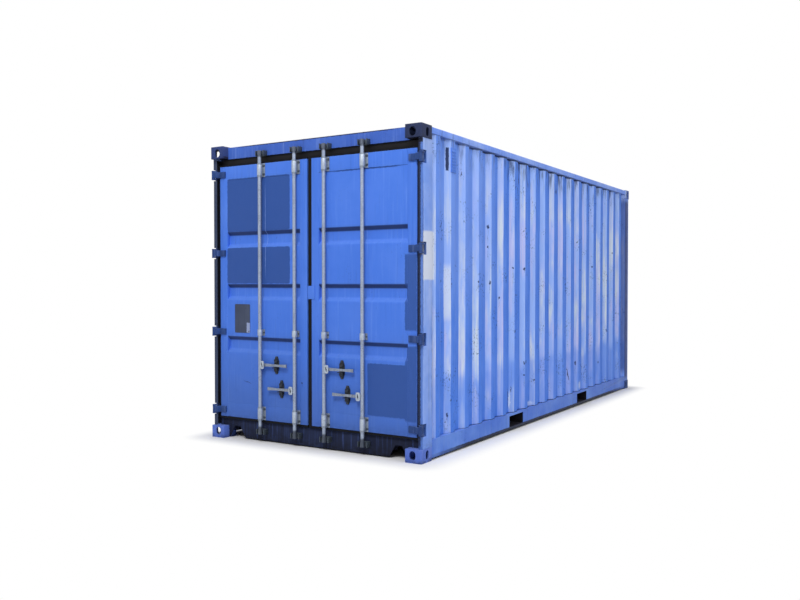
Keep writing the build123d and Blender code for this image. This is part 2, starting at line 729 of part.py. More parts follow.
# Door leaves: tube frame, grooved panel, gasket, hinge blades, bar brackets and handle catches
groove_middle = (LEAF_BASE + LEAF_TOP) / 2
groove_heights = [groove_middle + (index - (GROOVES - 1) / 2) * GROOVE_SPACING for index in range(GROOVES)]


def panel_line():
    """Points (height, depth) of the door panel's face, with its grooves, from the foot up."""
    points = [(PANEL_BASE, 0.0)]
    for middle in groove_heights:
        low = middle - GROOVE_HEIGHT / 2
        high = middle + GROOVE_HEIGHT / 2
        points += [(low, 0.0), (low + GROOVE_SLOPE, GROOVE_DEPTH)]
        points += [(high - GROOVE_SLOPE, GROOVE_DEPTH), (high, 0.0)]
    return points + [(PANEL_TOP, 0.0)]


def tube(x_span, y_span, z_span, along):
    """A rectangular tube, open at both ends of one axis: Y for rails, Z for stiles."""
    block(x_span, y_span, z_span)
    inner = [(low + LEAF_TUBE_WALL, high - LEAF_TUBE_WALL) for low, high in (x_span, y_span, z_span)]
    inner[along] = (y_span, z_span)[along - 1]
    block(*inner, mode=Mode.SUBTRACT)


def bar_bracket(bar_y, seat_x, width, base, height):
    """A strap folded round a lock bar, on a plate that stands on the door's face."""
    bore = BAR_RADIUS + BAR_FIT
    half = bore + BRACKET_WALL
    with BuildSketch(Plane.XY.offset(base)) as section:
        with Locations((seat_x - BRACKET_PLATE / 2, bar_y)):
            Rectangle(BRACKET_PLATE, width)
        with BuildLine():
            Polyline(
                (seat_x, bar_y - half),
                (BAR_X - half + BRACKET_FOLD, bar_y - half),
                (BAR_X - half, bar_y - half + BRACKET_FOLD),
                (BAR_X - half, bar_y + half - BRACKET_FOLD),
                (BAR_X - half + BRACKET_FOLD, bar_y + half),
                (seat_x, bar_y + half),
                close=True,
            )
        make_face()
        with BuildLine():
            Polyline(
                (BAR_X, bar_y + bore),
                (seat_x - BRACKET_PLATE, bar_y + bore),
                (seat_x - BRACKET_PLATE, bar_y - bore),
                (BAR_X, bar_y - bore),
            )
            ThreePointArc((BAR_X, bar_y - bore), (BAR_X - bore, bar_y), (BAR_X, bar_y + bore))
        make_face(mode=Mode.SUBTRACT)
    extrude(section.sketch, amount=height)


for door, y_side, meeting in (("right", -1, MEETING_RIGHT), ("left", 1, MEETING_LEFT)):
    hinge_edge = y_side * LEAF_EDGE
    leaf_x = (LEAF_FRONT, LEAF_BACK)
    hinge_stile_inner = hinge_edge - y_side * HINGE_STILE
    lock_stile_inner = meeting + y_side * LOCK_STILE
    panel_y = sorted((hinge_stile_inner, lock_stile_inner))

    with BuildPart() as stiles:
        tube(leaf_x, sorted((hinge_edge, hinge_stile_inner)), (LEAF_BASE, LEAF_TOP), along=2)
        tube(leaf_x, sorted((meeting, lock_stile_inner)), (LEAF_BASE, LEAF_TOP), along=2)
    finish(stiles, f"{door}_door_stiles")

    with BuildPart() as rails:
        tube(leaf_x, panel_y, (LEAF_BASE, PANEL_BASE), along=1)
        tube(leaf_x, panel_y, (PANEL_TOP, LEAF_TOP), along=1)
    finish(rails, f"{door}_door_rails")

    with BuildPart() as panel:
        with BuildSketch(Plane.XZ.offset(-panel_y[0])):
            with BuildLine():
                outline = sheet_outline(panel_line(), SHEET)
                Polyline(*[(PANEL_FRONT + level, at) for at, level in outline], close=True)
            make_face()
        extrude(amount=panel_y[0] - panel_y[1])
    finish(panel, f"{door}_door_panel")

    gasket_x = (LEAF_FRONT + GASKET_SETBACK, LEAF_FRONT + GASKET_SETBACK + GASKET_DEPTH)
    gasket_meeting = meeting + (GASKET_MEETING if door == "right" else 0.0)
    with BuildPart() as gasket:
        block(
            gasket_x,
            sorted((hinge_edge + y_side * GASKET_SIDE, gasket_meeting)),
            (LEAF_BASE - GASKET_BOTTOM, LEAF_TOP + GASKET_TOP),
        )
        block(gasket_x, sorted((hinge_edge, meeting)), (LEAF_BASE, LEAF_TOP), mode=Mode.SUBTRACT)
    finish(gasket, f"{door}_door_gasket")

    with BuildPart() as hinge_blades:
        blade_back = post_front - BLADE_POST_GAP
        blade_front = blade_back - BLADE_THICKNESS
        bend_run = LEAF_FRONT - blade_back
        for middle in hinge_heights:
            with BuildSketch(Plane.XY.offset(middle - KNUCKLE_HEIGHT / 2)):
                with BuildLine():
                    Polyline(
                        (LEAF_FRONT, y_side * (LEAF_EDGE - BLADE_ON_STILE)),
                        (LEAF_FRONT, y_side * LEAF_EDGE),
                        (blade_back, y_side * (LEAF_EDGE + bend_run / 2)),
                        (blade_back, y_side * HINGE_Y),
                        (blade_front, y_side * HINGE_Y),
                        (blade_front, y_side * (LEAF_EDGE + bend_run / 2 - BLADE_THICKNESS / 2)),
                        (LEAF_FRONT - BLADE_THICKNESS, y_side * (LEAF_EDGE - BLADE_THICKNESS / 2)),
                        (LEAF_FRONT - BLADE_THICKNESS, y_side * (LEAF_EDGE - BLADE_ON_STILE)),
                        close=True,
                    )
                make_face()
                with Locations((HINGE_X, y_side * HINGE_Y)):
                    RegularPolygon(KNUCKLE_RADIUS, side_count=8)
                    Circle(PIN_RADIUS + PIN_FIT, mode=Mode.SUBTRACT)
            extrude(amount=KNUCKLE_HEIGHT)
    finish(hinge_blades, f"{door}_hinge_blades")

    bracket_lift = (DOOR_RAIL - BRACKET_HEIGHT) / 2
    with BuildPart() as bar_brackets:
        for bar_y in (y_side * OUTER_BAR_Y, y_side * INNER_BAR_Y):
            for rail_base in (LEAF_BASE, PANEL_TOP):
                bar_bracket(bar_y, LEAF_FRONT, BRACKET_WIDTH, rail_base + bracket_lift, BRACKET_HEIGHT)
            mid_base = LEAF_BASE + MID_BRACKET_RISE - MID_BRACKET_HEIGHT / 2
            bar_bracket(bar_y, PANEL_FRONT, MID_BRACKET_WIDTH, mid_base, MID_BRACKET_HEIGHT)
    finish(bar_brackets, f"{door}_bar_brackets")

    with BuildPart() as handle_catches:
        for bar_name, (bar_y, points_to, handle_z) in lock_bars.items():
            if bar_name.startswith(door):
                catch_y = bar_y + points_to * CATCH_AT
                y_span = (catch_y - CATCH_WIDTH / 2, catch_y + CATCH_WIDTH / 2)
                shelf_top = handle_z - HANDLE_HEIGHT / 2 - CATCH_GAP
                with BuildSketch(Plane.YZ.offset(PANEL_FRONT - CATCH_PLATE)):
                    with BuildLine():
                        Polyline(
                            (y_span[0], handle_z - CATCH_SHOULDER),
                            (catch_y - CATCH_TIP / 2, handle_z - CATCH_HEIGHT / 2),
                            (catch_y + CATCH_TIP / 2, handle_z - CATCH_HEIGHT / 2),
                            (y_span[1], handle_z - CATCH_SHOULDER),
                            (y_span[1], handle_z + CATCH_SHOULDER),
                            (catch_y + CATCH_TIP / 2, handle_z + CATCH_HEIGHT / 2),
                            (catch_y - CATCH_TIP / 2, handle_z + CATCH_HEIGHT / 2),
                            (y_span[0], handle_z + CATCH_SHOULDER),
                            close=True,
                        )
                    make_face()
                extrude(amount=CATCH_PLATE)
                block(
                    (BAR_X - HANDLE_THICKNESS / 2, PANEL_FRONT - CATCH_PLATE),
                    y_span,
                    (shelf_top - CATCH_SHELF, shelf_top),
                )
    finish(handle_catches, f"{door}_handle_catches")

# Plate on the right door that laps over the gap between the leaves
with BuildPart() as lap_plate:
    block(
        (LEAF_FRONT - LAP_PLATE_THICKNESS, LEAF_FRONT),
        (MEETING_RIGHT - LAP_PLATE_OVER_STILE, MEETING_RIGHT + LAP_PLATE_REACH),
        (groove_middle - LAP_PLATE_HEIGHT / 2, groove_middle + LAP_PLATE_HEIGHT / 2),
    )
finish(lap_plate, "right_door_lap_plate")
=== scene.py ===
"""Dresses a weathered blue box container: paint, rust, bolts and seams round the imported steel.

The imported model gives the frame, the walls, the doors and the lock gear in metres, with the doors at -X
and the long side that the camera sees at -Y. Sizes are written here in millimetres.
"""

from __future__ import annotations

import json
import logging
import math
from contextlib import contextmanager
from dataclasses import dataclass, replace
from enum import Enum
from typing import Any, Callable, Iterator, Sequence

import bmesh
import bpy
from mathutils import Matrix, Vector

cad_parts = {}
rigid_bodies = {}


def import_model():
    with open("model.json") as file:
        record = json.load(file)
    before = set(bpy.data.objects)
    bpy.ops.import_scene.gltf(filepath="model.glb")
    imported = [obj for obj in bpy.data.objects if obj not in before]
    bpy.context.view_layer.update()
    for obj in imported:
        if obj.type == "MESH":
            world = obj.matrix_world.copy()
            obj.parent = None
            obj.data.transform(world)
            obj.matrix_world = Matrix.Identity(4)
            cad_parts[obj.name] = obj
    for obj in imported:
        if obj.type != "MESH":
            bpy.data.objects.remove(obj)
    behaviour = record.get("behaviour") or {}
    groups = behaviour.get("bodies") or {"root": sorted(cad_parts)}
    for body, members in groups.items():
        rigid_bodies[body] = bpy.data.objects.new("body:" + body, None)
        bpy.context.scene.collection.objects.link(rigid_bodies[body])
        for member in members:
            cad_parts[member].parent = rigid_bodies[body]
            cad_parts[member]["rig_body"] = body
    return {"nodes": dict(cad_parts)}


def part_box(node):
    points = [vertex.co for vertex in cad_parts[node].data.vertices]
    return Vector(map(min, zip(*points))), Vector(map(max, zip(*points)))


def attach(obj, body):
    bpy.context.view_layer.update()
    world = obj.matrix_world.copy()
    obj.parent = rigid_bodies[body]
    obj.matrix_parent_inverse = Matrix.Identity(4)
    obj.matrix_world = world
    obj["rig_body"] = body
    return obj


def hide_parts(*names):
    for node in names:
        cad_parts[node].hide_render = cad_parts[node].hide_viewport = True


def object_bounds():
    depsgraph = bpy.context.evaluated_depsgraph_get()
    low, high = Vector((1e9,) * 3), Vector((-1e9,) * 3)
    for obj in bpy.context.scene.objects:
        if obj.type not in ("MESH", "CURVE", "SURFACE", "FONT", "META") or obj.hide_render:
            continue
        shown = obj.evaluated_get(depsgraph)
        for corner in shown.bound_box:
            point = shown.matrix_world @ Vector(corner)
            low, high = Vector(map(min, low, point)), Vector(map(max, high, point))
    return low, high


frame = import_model()
CAD_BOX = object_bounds()
LOG = logging.getLogger("container")
MM = 0.001
ENDLESS = (-1.0e6, 1.0e6)
SIDES = ("right", "left")
BARS = ("outer", "inner")


class Axis(Enum):
    """The three directions of the box: along it, across it and up."""

    X = 0
    Y = 1
    Z = 2


class Slot(Enum):
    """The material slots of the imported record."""

    SHEET = "chalky_blue_paint"
    FRAME = "blue_frame_paint"
    DOOR = "blue_door_paint"
    CASTING = "scuffed_casting_paint"
    UNDERFRAME = "dark_underframe_paint"
    HINGE = "hinge_paint"
    GALVANISED = "galvanised_steel"


class MarkShape(Enum):
    """Outline of a mark on the paint, with how often its reach is squared: the more, the squarer it is."""

    SPOT = 0
    PATCH = 4


class Part(Enum):
    """What is picked of a piece in edit mode."""

    EDGES = "EDGE"
    FACES = "FACE"


# How far the outline of each kind of mark strays, and how long one swing of it is
RAGGED_EDGES = {MarkShape.PATCH: (7.0, 26.0), MarkShape.SPOT: (17.0, 20.0)}
# Where the mask of the faces that are turned a given way begins and is full, as cosines
LEVELLISH = (0.2, 0.6)
OUTWARD = (0.5, 0.85)
SLOPING = (0.78, 0.9)
DOWN = (0, 0, -1)
UP = (0, 0, 1)
# Shift of the noise in each direction for every step of a seed
SEED_SHIFT = (7.3, 3.1, 5.7)
NOISE_ROUGHNESS = 0.6
FRAY_DETAIL = 3.0


def linear(code: str) -> tuple[float, float, float, float]:
    """Turns an sRGB hex value into linear light.

    Args:
        code: The colour, such as "#4a78d8".

    Returns:
        Red, green, blue and a full alpha.
    """
    values = [int(code[at : at + 2], 16) / 255 for at in (1, 3, 5)]
    red, green, blue = [v / 12.92 if v <= 0.04045 else ((v + 0.055) / 1.055) ** 2.4 for v in values]
    return red, green, blue, 1.0


def fill(tree: bpy.types.NodeTree, node: bpy.types.Node, sockets: dict[str | int, Any]) -> None:
    """Fills or links the input sockets of a node.

    Args:
        tree: The node tree that it is in.
        node: The node.
        sockets: Input names or numbers, with a value or another node's output socket.
    """
    for socket, value in sockets.items():
        if isinstance(value, bpy.types.NodeSocket):
            tree.links.new(value, node.inputs[socket])
        else:
            node.inputs[socket].default_value = value


def add_node(
    tree: bpy.types.NodeTree, kind: str, sockets: dict[str | int, Any], **settings: Any
) -> bpy.types.Node:
    """Adds one node, with its settings, and fills or links its input sockets.

    Args:
        tree: The node tree that it goes into.
        kind: Blender's name of the node's type.
        sockets: Input names or numbers, with a value or another node's output socket.
        **settings: Properties of the node.

    Returns:
        The new node.
    """
    node = tree.nodes.new(kind)
    for setting, value in settings.items():
        setattr(node, setting, value)
    fill(tree, node, sockets)
    return node


@dataclass(frozen=True)
class Mark:
    """A stain, scrape, chip or repainted patch at a known place on one face, in millimetres.

    Attributes:
        across: Where it begins and ends, along the box on a side and across it on an end.
        up: Where it begins and ends above the ground.
        colour: What it shows.
        face: The axis that its face looks along.
        shape: Its outline.
        strength: How much of its colour covers the paint.
        soft: Share of its half size over which it fades out.
        tilt: Its turn on the face, in degrees.
        facing: Whether it stays off the faces that don't look out along the axis.
        through: Where it begins and ends along the axis.
    """

    across: tuple[float, float]
    up: tuple[float, float]
    colour: str
    face: Axis = Axis.Y
    shape: MarkShape = MarkShape.PATCH
    strength: float = 1.0
    soft: float = 0.06
    tilt: float = 0.0
    facing: bool = False
    through: tuple[float, float] = ENDLESS

    def place(self) -> tuple[Vector, Vector, Vector]:
        """Works out where the mark lies, through all of the piece unless it is limited.

        Returns:
            Its middle, its turn and its half size, in metres.
        """
        spans = (self.across, self.through, self.up)
        turn = math.radians(self.tilt)
        middle = Vector([sum(span) / 2 * MM for span in spans])
        half = Vector([(span[1] - span[0]) / 2 * MM for span in spans])
        if self.face is Axis.Y:
            return middle, Vector((0, turn, 0)), half
        return middle.yxz, Vector((turn, 0, 0)), half.yxz


@dataclass(frozen=True)
class Blotch:
    """Random soft-edged blotches of one kind.

    Attributes:
        size: Width of a blotch in millimetres.
        low: Noise level where a blotch begins.
        high: Noise level where it is full.
        stretch: How much longer it is along each axis.
        detail: Octaves of finer noise in its edges.
        seed: Step that sets this kind apart from the others.
    """

    size: float
    low: float
    high: float
    stretch: tuple[float, float, float] = (1.0, 1.0, 1.0)
    detail: float = 4.0
    seed: float = 0.0

    def rising(self, low: float) -> Blotch:
        """Gives the same blotches, beginning at another noise level."""
        return replace(self, low=low, high=low + self.high - self.low)


class Recipe:
    """A material on the bench: its nodes, and the colour, roughness and relief mixed so far."""

    def __init__(self, name: str, base: str, roughness: float, seed: float = 0.0) -> None:
        """Starts a material from one plain colour and roughness.

        Args:
            name: The material's name.
            base: Its plain colour.
            roughness: Its plain roughness.
            seed: Step that sets its blotches apart from those of other materials.
        """
        self.material = bpy.data.materials.new(name)
        self.material.use_nodes = True
        self.tree = self.material.node_tree
        self.shader = self.tree.nodes["Principled BSDF"]
        source = self.add("ShaderNodeTexCoord", {})
        self.where = source.outputs["Object"]
        self.facing = source.outputs["Normal"]
        self.colour: Any = linear(base)
        self.roughness: Any = roughness
        self.relief: Any = 0.0
        self.seed = seed

    def add(self, kind: str, sockets: dict[str | int, Any], **settings: Any) -> bpy.types.Node:
        """Adds one node to this material's tree."""
        return add_node(self.tree, kind, sockets, **settings)

    def step(self, value: Any, low: float, high: float, top: float = 1.0) -> bpy.types.NodeSocket:
        """Turns a value into a mask that rises smoothly between two limits, or falls if swapped."""
        limits = {"Value": value, "From Min": low, "From Max": high, "To Max": top}
        return self.add("ShaderNodeMapRange", limits, interpolation_type="SMOOTHSTEP").outputs[0]

    def both(self, *masks: Any) -> bpy.types.NodeSocket:
        """Gives the mask that is the product of several masks.

        Args:
            *masks: Output sockets or plain shares, the first of them a socket.

        Returns:
            The product's output socket.
        """
        result = masks[0]
        for mask in masks[1:]:
            result = self.add("ShaderNodeMath", {0: result, 1: mask}, operation="MULTIPLY").outputs[0]
        return result

    def blotches(self, kind: Blotch, top: float = 1.0) -> bpy.types.NodeSocket:
        """Makes a mask of random soft-edged blotches.

        Args:
            kind: The blotches.
            top: Value of the full mask.

        Returns:
            The mask's output socket.
        """
        seed = self.seed + kind.seed
        sockets = {
            "Vector": self.where,
            "Location": tuple(seed * part for part in SEED_SHIFT),
            "Scale": tuple(1 / (kind.size * MM * part) for part in kind.stretch),
        }
        laid = self.add("ShaderNodeMapping", sockets).outputs[0]
        sockets = {"Vector": laid, "Scale": 1.0, "Detail": kind.detail, "Roughness": NOISE_ROUGHNESS}
        noise = self.add("ShaderNodeTexNoise", sockets)
        return self.step(noise.outputs[0], kind.low, kind.high, top)

    def level(self, axis: Axis, start: float, end: float, wander: float = 0.0) -> bpy.types.NodeSocket:
        """Makes a mask that rises from one place to another along an axis.

        Args:
            axis: The axis.
            start: Where the mask begins, in millimetres.
            end: Where it is full, in millimetres.
            wander: How far its edge strays up and down, in millimetres.

        Returns:
            The mask's output socket.
        """
        source = self.frayed(wander, 1.6 * wander) if wander else self.where
        parts = self.add("ShaderNodeSeparateXYZ", {0: source})
        return self.step(parts.outputs[axis.value], start * MM, end * MM)

    def turned(self, way: Sequence[float], limits: tuple[float, float]) -> bpy.types.NodeSocket:
        """Makes a mask of the faces that are turned a given way, between two cosines."""
        dot = self.add("ShaderNodeVectorMath", {0: self.facing, 1: tuple(way)}, operation="DOT_PRODUCT")
        return self.step(dot.outputs["Value"], *limits)

    def layer(self, mask: Any, colour: str, strength: float = 1.0) -> None:
        """Lays a colour over what is there.

        Args:
            mask: Where it lies.
            colour: The colour.
            strength: How much of it covers what is there.
        """
        factor = self.both(mask, strength) if strength < 1.0 else mask
        sockets = {0: factor, 6: self.colour, 7: linear(colour)}
        self.colour = self.add("ShaderNodeMix", sockets, data_type="RGBA").outputs[2]

    def gloss(self, mask: Any, roughness: float) -> None:
        """Changes the roughness where the mask is."""
        sockets = {0: mask, 2: self.roughness, 3: roughness}
        self.roughness = self.add("ShaderNodeMix", sockets, data_type="FLOAT").outputs[0]

    def lift(self, mask: Any, height: float) -> None:
        """Raises the surface by a height in millimetres where the mask is, or sinks it if negative."""
        sockets = {0: mask, 1: height * MM, 2: self.relief}
        self.relief = self.add("ShaderNodeMath", sockets, operation="MULTIPLY_ADD").outputs[0]

    def frayed(self, reach: float, size: float) -> bpy.types.NodeSocket:
        """Gives object coordinates that wander, for ragged outlines.

        Args:
            reach: How far they wander, in millimetres.
            size: How long one swing is, in millimetres.

        Returns:
            The coordinates' output socket.
        """
        sockets = {"Vector": self.where, "Scale": 1 / (size * MM), "Detail": FRAY_DETAIL}
        noise = self.add("ShaderNodeTexNoise", sockets).outputs["Color"]
        sockets = {0: noise, 1: (0.5, 0.5, 0.5)}
        centred = self.add("ShaderNodeVectorMath", sockets, operation="SUBTRACT").outputs[0]
        sockets = {0: centred, 1: (2 * reach * MM,) * 3, 2: self.where}
        return self.add("ShaderNodeVectorMath", sockets, operation="MULTIPLY_ADD").outputs[0]

    def put(self, marks: Sequence[Mark]) -> None:
        """Paints known marks over the surface.

        Args:
            marks: The marks, in the order in which they lie over each other.
        """
        if not marks:
            return
        ragged = {shape: self.frayed(*edge) for shape, edge in RAGGED_EDGES.items()}
        outside = {
            face: self.turned([-1.0 if axis is face else 0.0 for axis in Axis], OUTWARD)
            for face in {mark.face: None for mark in marks if mark.facing}
        }
        for mark in marks:
            mask = self.outline(mark, ragged[mark.shape])
            if mark.facing:
                mask = self.both(mask, outside[mark.face])
            self.layer(mask, mark.colour)

    def outline(self, mark: Mark, ragged: bpy.types.NodeSocket) -> bpy.types.NodeSocket:
        """Makes the mask of one mark.

        A mark that isn't tilted is laid by a plain sum, because dozens of Mapping nodes are more than one
        material can hold.

        Args:
            mark: The mark.
            ragged: Object coordinates that wander, which give it a slightly ragged edge.

        Returns:
            The mask's output socket.
        """
        middle, turn, half = mark.place()
        if mark.tilt:
            sockets = {"Vector": ragged, "Location": middle, "Rotation": turn, "Scale": half}
            laid = self.add("ShaderNodeMapping", sockets, vector_type="TEXTURE").outputs[0]
        else:
            shrink = [1 / part for part in half]
            shift = [-at * part for at, part in zip(middle, shrink)]
            sockets = {0: ragged, 1: shrink, 2: shift}
            laid = self.add("ShaderNodeVectorMath", sockets, operation="MULTIPLY_ADD").outputs[0]
        for _ in range(mark.shape.value):
            laid = self.add("ShaderNodeVectorMath", {0: laid, 1: laid}, operation="MULTIPLY").outputs[0]
        length = self.add("ShaderNodeVectorMath", {0: laid}, operation="LENGTH").outputs["Value"]
        root = 0.5**mark.shape.value
        reach = self.add("ShaderNodeMath", {0: length, 1: root}, operation="POWER").outputs[0]
        return self.step(reach, 1.0, 1.0 - mark.soft, mark.strength)

    def done(self, constants: dict[str | int, Any]) -> bpy.types.Material:
        """Links the layers to the shader and sets its plain sockets.

        Args:
            constants: Sockets of the shader that are the same all over, with their values.

        Returns:
            The finished material.
        """
        sockets = {"Base Color": self.colour, "Roughness": self.roughness} | constants
        if isinstance(self.relief, bpy.types.NodeSocket):
            bump = self.add("ShaderNodeBump", {"Height": self.relief, "Distance": 1.0, "Strength": 1.0})
            sockets["Normal"] = bump.outputs[0]
        fill(self.tree, self.shader, sockets)
        return self.material


# Clouds of fading half a metre wide, and the thin runs that rain draws down the steel
FADED_CLOUDS = Blotch(520, 0.38, 0.68)
RAIN_RUNS = Blotch(22, 0.5, 0.78, (1, 1, 26), seed=1)
GRIME_RUNS = Blotch(30, 0.56, 0.8, (1, 1, 20), seed=2)
# Mud thrown up from the ground, and dirt that drips from a rail
MUD_SPLASHES = Blotch(60, 0.3, 0.65, (1, 1, 0.6), seed=3)
DIRT_DRIPS = Blotch(42, 0.45, 0.66, (1, 1, 6), seed=4)
# Chips a few millimetres wide, in clusters, drawn larger than life so that they show
CHIP_CLUSTERS = Blotch(240, 0.52, 0.7, seed=5)
CHIPS = Blotch(13, 0.0, 0.05, (1, 1, 1.5), 5.0, seed=6)
DULL_AREAS = Blotch(90, 0.4, 0.7, seed=7)
# Orange peel of sprayed enamel, drawn coarser than its millimetre or two so that it shows
ORANGE_PEEL = Blotch(5, 0.3, 0.7, detail=2.0, seed=8)
UNEVEN_STEEL = Blotch(160, 0.3, 0.7, detail=1.0, seed=9)
# Chalk comes in clouds that rain has drawn down into streaks
CHALK_CLOUDS = Blotch(210, 0.0, 0.2, (1, 1, 4), seed=11)
CHALK_STREAKS = Blotch(24, 0.25, 0.6, (1, 1, 30), seed=14)
# Roughness of bare rust, and of chalk
RUST_ROUGHNESS = 0.85
CHALK_ROUGHNESS = 0.8


@dataclass(frozen=True)
class Chalk:
    """Pale bloom of worn-out paint on the slopes of the corrugation.

    Attributes:
        tints: Its three colours, the most spread first.
        covers: Noise level where the clouds of each tint begin.
        way: Where the slopes look that take most of the weather.
        lee: Where the other slopes look.
        strength: How much of it covers the paint.
        repainted_below: Height under which newer paint thins it.
        edge: Half the height over which that paint ends.
        thinned: Share of the chalk that is left there.
        lee_share: Strength on the other slopes.
        sheltered: Heights between which the streaks begin, from the shelter of the rail down.
        sheltered_share: Share of the streaks that is left in the shelter.
        wander: How far the edges of these zones stray.
    """

    tints: tuple[str, str, str]
    covers: tuple[float, float, float]
    way: tuple[float, float, float]
    lee: tuple[float, float, float]
    strength: float
    repainted_below: float
    edge: float = 90.0
    thinned: float = 0.4
    lee_share: float = 0.3
    sheltered: tuple[float, float] = (2750.0, 2100.0)
    sheltered_share: float = 0.3
    wander: float = 240.0


@dataclass(frozen=True)
class Paint:
    """Alkyd container paint, sprayed on steel: satin when new, then bleached, streaked and chipped."""

    name: str
    base: str
    faded: str
    fade: float = 0.6
    # Colour of the rain runs, also used for the painted light on faces turned up
    streak_and_highlight: str = "#8aa4e4"
    streaking: float = 0.3
    # Colour of dirt runs, mud and drips, also used for the painted shade on faces turned down
    grime_and_shade: str = "#242b44"
    griming: float = 0.3
    mud_top: float = 0.0
    mud_strength: float = 0.75
    drip_from: float = 0.0
    drip_length: float = 260.0
    # A darker tone towards the bottom: its colour, the height where it begins and where it is full, how far
    # that edge strays, and its strength
    low_tone: str = "#3d568e"
    low_tone_top: float = 0.0
    low_tone_full: float = 150.0
    low_tone_wander: float = 180.0
    low_tone_strength: float = 0.5
    # Strength of the painted shade, partly dirt, on faces turned down
    underside_grime_and_shade: float = 0.45
    # Strength of the painted light, partly dust, on faces turned up
    ledge_dust_and_light: float = 0.25
    rust: str = "#262433"
    chips: float = 0.6
    flecking: float = 0.63
    roughness: float = 0.5
    shine: float = 0.22
    seed: float = 0.0
    chalk: Chalk | None = None
    marks: tuple[Mark, ...] = ()

    def mix(self) -> bpy.types.Material:
        """Mixes the paint: clouds of fading, chalk, rain runs, dirt runs, painted shade on faces turned
        down and painted light on faces turned up, marks, then chips to dark steel.

        Returns:
            The paint's material.
        """
        paint = Recipe(self.name, self.base, self.roughness, self.seed)
        paint.layer(paint.blotches(FADED_CLOUDS, self.fade), self.faded)
        if self.chalk:
            self.bloom(paint, self.chalk)
        paint.layer(paint.blotches(RAIN_RUNS, self.streaking), self.streak_and_highlight)
        paint.layer(paint.blotches(GRIME_RUNS, self.griming), self.grime_and_shade)
        # Painted shade, partly dirt, on faces turned down
        paint.layer(paint.turned(DOWN, LEVELLISH), self.grime_and_shade, self.underside_grime_and_shade)
        # Painted light, partly dust, on faces turned up
        paint.layer(paint.turned(UP, LEVELLISH), self.streak_and_highlight, self.ledge_dust_and_light)
        # Darker towards the bottom
        if self.low_tone_top:
            low = paint.level(Axis.Z, self.low_tone_top, self.low_tone_full, self.low_tone_wander)
            paint.layer(low, self.low_tone, self.low_tone_strength)
        if self.mud_top:
            splash = paint.level(Axis.Z, self.mud_top, 0.0)
            paint.layer(paint.both(splash, paint.blotches(MUD_SPLASHES)), self.grime_and_shade, self.mud_strength)
        if self.drip_from:
            drip = paint.level(Axis.Z, self.drip_from - self.drip_length, self.drip_from)
            paint.layer(paint.both(drip, paint.blotches(DIRT_DRIPS)), self.grime_and_shade, self.mud_strength)
        paint.put(self.marks)
        flecks = paint.blotches(CHIPS.rising(self.flecking))
        chipped = paint.both(paint.blotches(CHIP_CLUSTERS), flecks, self.chips)
        paint.layer(chipped, self.rust)
        paint.gloss(chipped, RUST_ROUGHNESS)
        paint.gloss(paint.blotches(DULL_AREAS, top=0.35), roughness=0.75)
        paint.lift(chipped, height=-0.25)
        paint.lift(paint.blotches(ORANGE_PEEL), height=0.12)
        paint.lift(paint.blotches(UNEVEN_STEEL), height=1.6)
        return paint.done({"IOR": 1.5, "Specular IOR Level": self.shine})

    def bloom(self, paint: Recipe, chalk: Chalk) -> None:
        """Lays three tints of chalk on the slopes that face the weather, thinner where it was repainted.

        Args:
            paint: The paint on the bench.
            chalk: The chalk.
        """
        slopes = paint.turned(chalk.way, SLOPING)
        others = paint.turned(chalk.lee, SLOPING)
        bottom, top = chalk.repainted_below - chalk.edge, chalk.repainted_below + chalk.edge
        old = paint.level(Axis.Z, bottom, top, chalk.wander)
        shares = {"Value": old, "To Min": chalk.thinned, "To Max": 1.0}
        thin = paint.add("ShaderNodeMapRange", shares).outputs[0]
        paint.layer(paint.both(others, thin, chalk.lee_share), chalk.tints[1])
        bleached = paint.level(Axis.Z, *chalk.sheltered, chalk.wander)
        shares = {"Value": bleached, "To Min": chalk.sheltered_share, "To Max": 1.0}
        weather = paint.add("ShaderNodeMapRange", shares).outputs[0]
        streaks = paint.blotches(CHALK_STREAKS, chalk.strength)
        for number, (tint, low) in enumerate(zip(chalk.tints, chalk.covers)):
            clouds = replace(CHALK_CLOUDS.rising(low), seed=CHALK_CLOUDS.seed + number)
            grain = paint.both(weather, streaks) if number else chalk.strength
            paint.layer(paint.both(slopes, thin, paint.blotches(clouds), grain), tint)
        paint.gloss(paint.both(slopes, thin), CHALK_ROUGHNESS)


# Zinc: crystals about a centimetre wide, dull runs, rust in clusters, and a grain drawn coarse to show
SPANGLE = 11.0
ZINC_RUNS = Blotch(40, 0.48, 0.72, (1, 1, 6), seed=2)
RUST_CLUSTERS = Blotch(110, 0.5, 0.68, seed=3)
RUST_FLECKS = Blotch(9, 0.5, 0.64, seed=4)
ZINC_GRAIN = Blotch(4, 0.3, 0.7, detail=2.0, seed=5)


